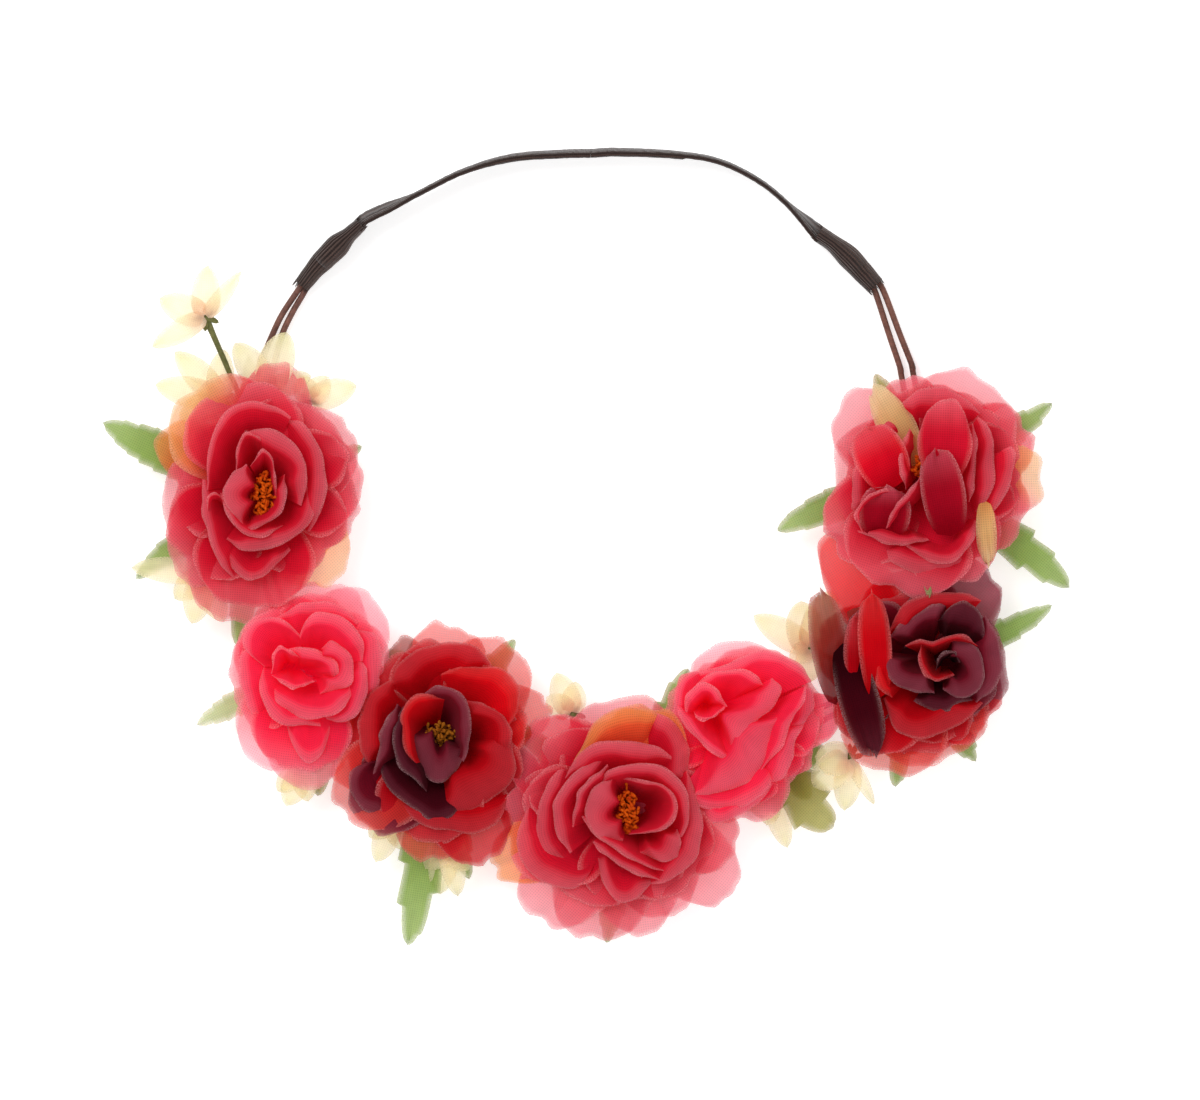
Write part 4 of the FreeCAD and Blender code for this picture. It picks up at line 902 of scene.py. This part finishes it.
# A free blossom: where its cup is in millimetres, its petals (heading, length, half width, slope), and the
# first two points of its twig.
BLOSSOMS = {
    "upper_left_blossom": (
        (-100.6, 41.2, 14.0),
        [(87, 13.4, 3.6, 14), (47, 15.2, 2.0, 22), (162, 12.9, 3.8, 8), (211, 16.4, 2.8, -6)],
        [(-87.8, 2.6, 6.0), (-89.4, 14.0, 8.5)]),
    "lower_left_blossom": (
        (-101.5, -27.0, 8.0),
        [(172, 19.0, 3.2, 0), (222, 10.0, 3.4, 6), (262, 13.5, 3.8, 4), (292, 14.0, 3.6, 8)],
        [(-88.1, -10.7, 6.0), (-93.0, -17.0, 9.0)]),
    "bottom_blossom": (
        (-36.5, -98.5, 8.0),
        [(258, 13.6, 3.6, -6), (284, 14.4, 3.0, -2), (230, 9.0, 3.2, 6), (305, 9.0, 3.0, 8)],
        [(-35.1, -73.7, 6.0), (-36.0, -84.0, 9.0)]),
    "inner_blossom": (
        (59.5, -46.8, 8.2),
        [(149, 17.0, 3.6, 4), (104, 12.8, 5.0, 12), (66, 16.5, 4.6, -4), (270, 9.0, 3.4, 8),
         (212, 6.0, 2.6, 20)],
        [(80.5, -56.1, 7.4), (72.0, -52.5, 8.6)]),
    "lower_right_blossom": (
        (70.0, -76.0, 9.2),
        [(268, 14.0, 3.4, -4), (300, 14.0, 1.6, 2), (215, 12.0, 4.6, 0), (180, 9.0, 4.4, 8)],
        [(82.9, -52.8, 4.8), (78.4, -63.0, 7.0)]),
}
# A blossom that is tied in among the roses: where its cup is, and its petals.
TUCKED = [
    ((-97.0, 19.5, 7.4),
     [(130, 17.0, 3.6, 6), (168, 17.5, 3.8, 2), (88, 13.0, 3.4, 12), (205, 12.0, 3.4, 4)]),
    ((-84.0, 21.5, 9.0), [(122, 15.5, 4.0, 8), (76, 16.4, 4.7, 0), (20, 12.0, 3.0, 6)]),
    ((-73.0, 19.0, 8.0), [(18, 13.0, 3.6, 4), (55, 8.0, 3.0, 10), (110, 7.0, 3.0, 16)]),
    ((-75.0, -78.5, 8.0), [(250, 11.0, 3.4, 0), (280, 9.0, 3.0, 6), (220, 9.0, 3.0, 6)]),
    ((-51.0, -92.0, 7.5), [(252, 12.5, 3.2, 0), (215, 8.0, 3.0, 8), (290, 9.0, 3.0, 4)]),
    ((-3.5, -64.0, 8.0), [(112, 11.5, 3.6, 8), (80, 8.5, 3.0, 10), (150, 8.0, 3.0, 4)]),
    ((-8.0, -87.5, 8.0), [(170, 13.5, 3.2, 4), (200, 11.0, 3.4, 2), (140, 8.0, 2.8, 8)]),
    ((-44.0, -55.0, 8.0), [(132, 11.0, 2.8, 4), (95, 8.0, 2.6, 8), (60, 7.0, 2.6, 8)]),
    ((50.0, -79.0, 8.5), [(285, 7.0, 3.0, 0), (255, 7.0, 3.0, 4)]),
    ((49.5, -87.0, 5.0), [(291, 13.5, 2.8, -2), (262, 7.0, 2.6, 2)]),
]
TUCKED_SEED = 20
TWIG_FOOT, TWIG_BEND = 6.0, 8.5


def blossom(piece, place, petals, seed):
    for index, (heading, length, width, slope) in enumerate(petals):
        a = math.radians(heading)
        base = (place[0] + 0.3 * math.cos(a), place[1] + 0.3 * math.sin(a), place[2] + 0.8 + 0.15 * index)
        petal(piece, base, heading, slope + 14, slope - 16, reach=length - 0.3, width=width, dye="cream",
              wrap=(4.5, 9.0), lip=-12, roll=0.2, ruffle=0.25, form="oval", foot=0.42, mid=0.56, rows=21,
              cols=9, seed=seed * 13 + index, crumple=0.3, lean=8 * math.sin(seed + index * 2.0), folds=1,
              crease=0.25)


def calyx(piece, place, stalk, seed):
    """A thin stalk that ends in a small green star behind the petals."""
    line = smooth_line(stalk + [place], 24)
    wire_tube(piece, line, np.concatenate([np.full(20, 0.72), [0.74, 0.78, 0.9, 1.05]]))
    toward = math.atan2(line[-2][1] - place[1], line[-2][0] - place[0])
    for index in range(4):
        a = toward + math.radians(-96 + 64 * index) + 0.2 * math.sin(seed + index)
        petal(piece, (place[0], place[1], place[2] + 0.3), math.degrees(a), 20, -4, reach=4.0, width=0.62,
              dye="olive", wrap=(1.5, 3.0), lip=-10, roll=0.0, ruffle=0.0, form="oval", foot=1.0, mid=0.3,
              rows=9, cols=5, seed=seed * 7 + index, crumple=0.1, folds=0)


def part_way(a, b, share):
    return a[0] * (1 - share) + b[0] * share, a[1] * (1 - share) + b[1] * share


for seed, (name, (place, petals, twig)) in enumerate(BLOSSOMS.items()):
    piece, stalks = Piece(name + "_cloth"), Piece(name + "_stalk")
    blossom(piece, place, petals, seed)
    calyx(stalks, place, twig, seed)
    piece.build(CREAM_CLOTH, name, "blossom", name + "_petals")
    stalks.build(STEM, name, "stem_green", name + "_twig")

piece, stalks = Piece("tucked_blossom_cloth"), Piece("tucked_blossom_stalks")
for seed, (place, petals) in enumerate(TUCKED, TUCKED_SEED):
    blossom(piece, place, petals, seed)
    hub = min((hub_of(rose) for rose in ROSES), key=lambda h: math.hypot(h[0] - place[0], h[1] - place[1]))
    stalk = [part_way(hub, place, 0.2) + (TWIG_FOOT,), part_way(hub, place, 0.5) + (TWIG_BEND,)]
    calyx(stalks, place, stalk, seed)
piece.build(CREAM_CLOTH, "wreath", "blossom", "tucked_blossom_petals")
stalks.build(STEM, "wreath", "stem_green", "tucked_blossom_twigs")


# ---------------------------------------------------------------- stamens

ANTHER = {
    "orange": solid("anther_orange", (176, 44, 0), (226, 104, 12), scale=1500.0, rough=0.8, specular=0.1),
    "yellow": solid("anther_yellow", (128, 64, 8), (184, 116, 26), scale=1500.0, rough=0.8, specular=0.1),
}
# Tone, number of threads, half sizes of the tuft, its turn, its middle, height of its top, how the tips lean.
STAMENS = {
    "coral_rose_left": ("orange", 90, (3.0, 6.2), 84, (0.8, -1.2), 21.5, 0),
    "red_rose_left": ("yellow", 70, (2.8, 4.4), 5, (0.6, 1.6), 19.0, -20),
    "coral_rose_front": ("orange", 80, (2.6, 6.0), 92, (0.2, -0.6), 21.5, -35),
    "coral_rose_right": ("orange", 22, (0.9, 2.6), 75, (-3.0, 3.0), 22.5, 60),
}
STAMEN_FOOT = 15.0
STAMEN_STEPS = 11


def make_stamens(rose, number):
    tone, count, (narrow, wide), axis, middle, top, leaning = STAMENS[rose]
    hub = hub_of(rose)
    root = (hub[0] + middle[0], hub[1] + middle[1])
    rng = random.Random(number + 71)
    piece = Piece(rose + "_stamen_threads")
    a = math.radians(axis)
    for index in range(count):
        spread = math.sqrt((index + 0.5) / count) * rng.uniform(0.85, 1.1)
        turn = index * 2.4 + rng.uniform(-0.3, 0.3)
        dx, dy = wide * spread * math.cos(turn), narrow * spread * math.sin(turn)
        x = root[0] + dx * math.cos(a) - dy * math.sin(a)
        y = root[1] + dx * math.sin(a) + dy * math.cos(a)
        z = top - 2.2 * spread ** 2 + rng.uniform(-1.2, 1.2)
        bow = math.radians(leaning) + rng.gauss(0, 1.3)
        reach = rng.uniform(0.8, 1.9)
        knee = (x, y, z - rng.uniform(0.2, 0.9))
        end = (x + reach * math.cos(bow), y + reach * math.sin(bow), z + rng.uniform(-0.6, 0.6))
        line = smooth_line([part_way(root, (x, y), 0.35) + (STAMEN_FOOT,), knee, end], STAMEN_STEPS)
        thread = 0.26 + 0.12 * np.clip(np.linspace(-1, 1, STAMEN_STEPS), 0, 1)
        thread[-3:] = rng.uniform(0.36, 0.56)
        thread[-1] = 0.16
        wire_tube(piece, line, thread, sides=6)
    piece.build(ANTHER[tone], "wreath", "stamens_" + tone, rose + "_stamens")


for number, rose in enumerate(STAMENS):
    make_stamens(rose, number)


# ---------------------------------------------------------------- elastic, sleeves and wires

RIBS = 22
ELASTIC = ribbed("elastic_knit", (30, 20, 18), (74, 56, 50), 0.9)
RIBBON = ribbed("sleeve_ribbon", (36, 26, 24), (88, 70, 64), 4 * math.pi / RIBS, across=0.6)
WIRE = solid("brown_wire", (84, 48, 38), (132, 86, 72), scale=1200.0, rough=0.5, specular=0.35)
TAPE = solid("stem_tape", (58, 60, 34), (92, 94, 58), scale=700.0, rough=0.9, bump=0.6)

ELASTIC_MIDDLE = (1.5, 84.9)
ELASTIC_LEFT = [(-60.6, 64.9), (-57.9, 67.7), (-45.5, 73.4), (-33, 79.6), (-20, 83.6), (-6, 84.7),
                ELASTIC_MIDDLE]
ELASTIC_RIGHT = [ELASTIC_MIDDLE, (9, 85.2), (24, 84.5), (36, 82.4), (47.2, 76.7), (56.5, 68.7), (63.0, 62.6)]
ELASTIC_LEVEL = 6.0
ELASTIC_TALL, ELASTIC_THICK = 4.5, 0.72
ELASTIC_STEPS = 90
LAP_START, LAP_EDGE = -34.0, 26.2


def elastic_half(name, points, seed):
    """One half of the elastic, standing on its edge, thicker where its ends lap, twisted at its sleeve."""
    line = smooth_line([(x, y, ELASTIC_LEVEL) for x, y in points], ELASTIC_STEPS)
    share_at = np.linspace(0, 1, ELASTIC_STEPS)
    piece = Piece(name)
    rng = np.random.RandomState(seed)

    def section(index, share, around):
        x = np.interp(share, share_at, line[:, 0])
        middle = 1 - min(abs(x - ELASTIC_MIDDLE[0]) / 60.0, 1.0)
        lap = smooth(x, LAP_START, LAP_START + 14.0) * (1 - smooth(x, LAP_EDGE, LAP_EDGE + 0.8))
        lean = 3.0 + 5.0 * middle + 15.0 * smooth(-x, 50.0, 62.0) + 24.0 * smooth(x, 55.0, 64.0)
        lean = math.radians(lean)
        high = ELASTIC_TALL * np.sign(np.sin(around)) * np.abs(np.sin(around)) ** 0.45
        across = ELASTIC_THICK * np.sign(np.cos(around)) * np.abs(np.cos(around)) ** 0.55
        across = across * (1 + 0.6 * lap * (np.cos(around) > 0)) + rng.uniform(-0.06, 0.06, len(around))
        return across + high * math.sin(lean), high * math.cos(lean)

    loft(piece, line, section)
    return piece.build(ELASTIC, None, "elastic", "elastic_band")


SLEEVES = {
    "left": [(-59.6, 65.8), (-63.8, 62.0), (-67.6, 58.3), (-71.3, 54.6), (-75.4, 49.6)],
    "right": [(62.0, 63.4), (66.2, 60.5), (70.2, 57.0), (73.8, 53.2), (77.2, 49.6)],
}
# Half widths and half heights, as (share along the sleeve, millimetres).
SLEEVE_HALF_WIDE = {
    "left": ((0, 1.8), (0.14, 2.0), (0.38, 3.1), (0.58, 2.9), (0.82, 2.4), (1, 2.2)),
    "right": ((0, 2.2), (0.16, 2.2), (0.5, 3.0), (0.72, 2.8), (1, 2.5)),
}
SLEEVE_HALF_TALL = ((0, 5.9), (0.42, 5.6), (0.7, 4.2), (1, 2.6))
SLEEVE_SEED = {"left": 3, "right": 4}
SLEEVE_STEPS, SLEEVE_SIDES = 60, 132
FRINGE_THREADS = 18


def eased(table, share):
    """A value read from (place, value) pairs, changing softly between them."""
    for (x0, y0), (x1, y1) in zip(table, table[1:]):
        if share <= x1:
            return y0 + (y1 - y0) * float(smooth(share, x0, x1))
    return table[-1][1]


def fringe(piece, end, forward, wide, tall, rng):
    """Cut threads round the open end of a sleeve."""
    sideways = unit(np.cross(forward, (0, 0, 1)))
    for index in range(FRINGE_THREADS):
        a = 2 * math.pi * (index + rng.uniform(0, 0.8)) / FRINGE_THREADS
        out = sideways * math.cos(a) * wide * 0.94 + np.array([0, 0, 1]) * math.sin(a) * tall * 0.9
        start = end + out - forward * 0.4
        tip = end + out * rng.uniform(0.86, 1.06) + forward * rng.uniform(0.7, 1.6)
        tip[2] = max(tip[2], 0.2)
        wire_tube(piece, [start, (start + tip) / 2, tip], [0.16, 0.13, 0.07], sides=5)


def make_sleeve(side):
    """A ribbed ribbon wrapped round the ends of the elastic and the two wires."""
    rng = np.random.RandomState(SLEEVE_SEED[side])
    line = smooth_line([(x, y, 0.0) for x, y in SLEEVES[side]], SLEEVE_STEPS)
    line[:, 2] = [eased(SLEEVE_HALF_TALL, share) + 0.05 for share in np.linspace(0, 1, SLEEVE_STEPS)]
    piece = Piece("sleeve_{}_ribbon".format(side))
    tuck = rng.uniform(0, 2 * math.pi)

    def section(index, share, around):
        wide, tall = eased(SLEEVE_HALF_WIDE[side], share), eased(SLEEVE_HALF_TALL, share)
        ribs = 1 + 0.035 * np.sin(RIBS * around)
        place = (around - tuck) % (2 * math.pi) - 1.2
        crease = 1 - 0.09 * np.exp(-((share - 0.5) / 0.2) ** 2) * np.exp(-place ** 2 / 0.03)
        round_wide = np.sign(np.cos(around)) * np.abs(np.cos(around)) ** 0.85
        return wide * ribs * crease * round_wide, tall * 0.97 * ribs * np.sin(around)

    loft(piece, line, section, sides=SLEEVE_SIDES)
    for end, inner, share in ((0, 1, 0.0), (-1, -2, 1.0)):
        wide, tall = eased(SLEEVE_HALF_WIDE[side], share), eased(SLEEVE_HALF_TALL, share)
        fringe(piece, line[end], unit(line[end] - line[inner]), wide, tall, rng)
    piece.build(RIBBON, side + "_end", "sleeve", "ribbon_sleeve_" + side)


RING_WIRE_Z = 1.9
WIRE_RADIUS = 0.82
SIDE_WIRES = {
    "left": [[(-74.9, 50.4), (-76.9, 47.6), (-80.8, 41.6), (-83.6, 35.6), (-85.38, 31.2), (-85.6, 29.6)],
             [(-73.7, 49.9), (-75.0, 47.4), (-77.8, 42.6), (-80.5, 36.9), (-82.22, 30.8), (-82.5, 29.2)]],
    "right": [[(75.9, 50.6), (77.4, 47.4), (80.9, 36.6), (83.73, 28.2), (84.1, 26.3)],
              [(77.4, 51.2), (79.5, 48.0), (83.8, 36.6), (86.87, 28.8), (87.2, 26.9)]],
}


def make_side_wires(side):
    piece = Piece("side_wires_" + side)
    for line in SIDE_WIRES[side]:
        route = [(x, y, RING_WIRE_Z + 0.2) for x, y in line]
        wire_tube(piece, smooth_line(route, 40), WIRE_RADIUS, sides=14)
    return piece.build(WIRE, None, "wire", side + "_wire_pair")


for side in SLEEVES:
    make_sleeve(side)
elastic_left = elastic_half("elastic_band_left_half", ELASTIC_LEFT, 9)
elastic_right = elastic_half("elastic_band_right_half", ELASTIC_RIGHT, 5)
wires_left, wires_right = make_side_wires("left"), make_side_wires("right")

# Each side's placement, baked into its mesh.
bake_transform(wires_left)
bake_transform(wires_right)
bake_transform(elastic_left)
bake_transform(elastic_right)


# ---------------------------------------------------------------- carried-over parts

def paint(node, mat):
    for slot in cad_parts[node].material_slots:
        slot.material = mat


for node in ("base_wire_outer", "base_wire_inner"):
    paint(node, WIRE)
paint("binding_tape", TAPE)
for rose in ROSES:
    paint(rose + "_stem", STEM)


# ---------------------------------------------------------------- stage

FLOOR_HALF = 3.0
FLOOR_LEVEL = -0.0002


def stage():
    m = Material("floor_white")
    paper = m.surface((0.9, 0.9, 0.9, 1.0), 0.9, 0.0)
    paper.inputs["Emission Color"].default_value = (1.0, 1.0, 1.0, 1.0)
    paper.inputs["Emission Strength"].default_value = 0.5
    mesh = bpy.data.meshes.new("floor")
    corners = [(-FLOOR_HALF, -FLOOR_HALF, 0), (FLOOR_HALF, -FLOOR_HALF, 0),
               (FLOOR_HALF, FLOOR_HALF, 0), (-FLOOR_HALF, FLOOR_HALF, 0)]
    mesh.from_pydata(corners, [], [(0, 1, 2, 3)])
    mesh.materials.append(m.done(paper))
    floor = bpy.data.objects.new("floor", mesh)
    bpy.context.scene.collection.objects.link(floor)
    floor.location.z = FLOOR_LEVEL


def lamp(name, place, size, power):
    """A round soft light that points at the crown."""
    light = bpy.data.lights.new(name, "AREA")
    light.shape = "DISK"
    light.size = size
    light.energy = power
    obj = bpy.data.objects.new(name, light)
    obj.location = place
    obj.rotation_euler = (-Vector(place)).to_track_quat("-Z", "Y").to_euler()
    bpy.context.scene.collection.objects.link(obj)


def lighting():
    world = bpy.data.worlds.new("soft")
    bpy.context.scene.world = world
    world.use_nodes = True
    back = world.node_tree.nodes["Background"]
    back.inputs["Color"].default_value = (1.0, 1.0, 1.0, 1.0)
    back.inputs["Strength"].default_value = 0.58
    lamp("key", (-0.7, 0.7, 1.3), 1.0, 13.0)
    lamp("fill", (0.9, -0.5, 1.2), 1.2, 5.0)
    view = bpy.context.scene.view_settings
    view.view_transform = "Standard"
    view.look = "None"
    view.exposure = 0.0
    view.gamma = 1.0


FIELD_WIDTH = 0.318  # metres across the photograph at petal height
FIELD_CENTRE = (0.00398, -0.0207)
CAMERA_HEIGHT = 3.0
PETAL_HEIGHT = 0.014
SENSOR = 36.0


def camera():
    data = bpy.data.cameras.new("camera")
    data.sensor_fit = "HORIZONTAL"
    data.sensor_width = SENSOR
    data.lens = SENSOR * (CAMERA_HEIGHT - PETAL_HEIGHT) / FIELD_WIDTH
    data.clip_start = 0.1
    data.clip_end = 20.0
    obj = bpy.data.objects.new("camera", data)
    obj.location = (*FIELD_CENTRE, CAMERA_HEIGHT)
    bpy.context.scene.collection.objects.link(obj)
    bpy.context.scene.camera = obj


stage()
lighting()
camera()
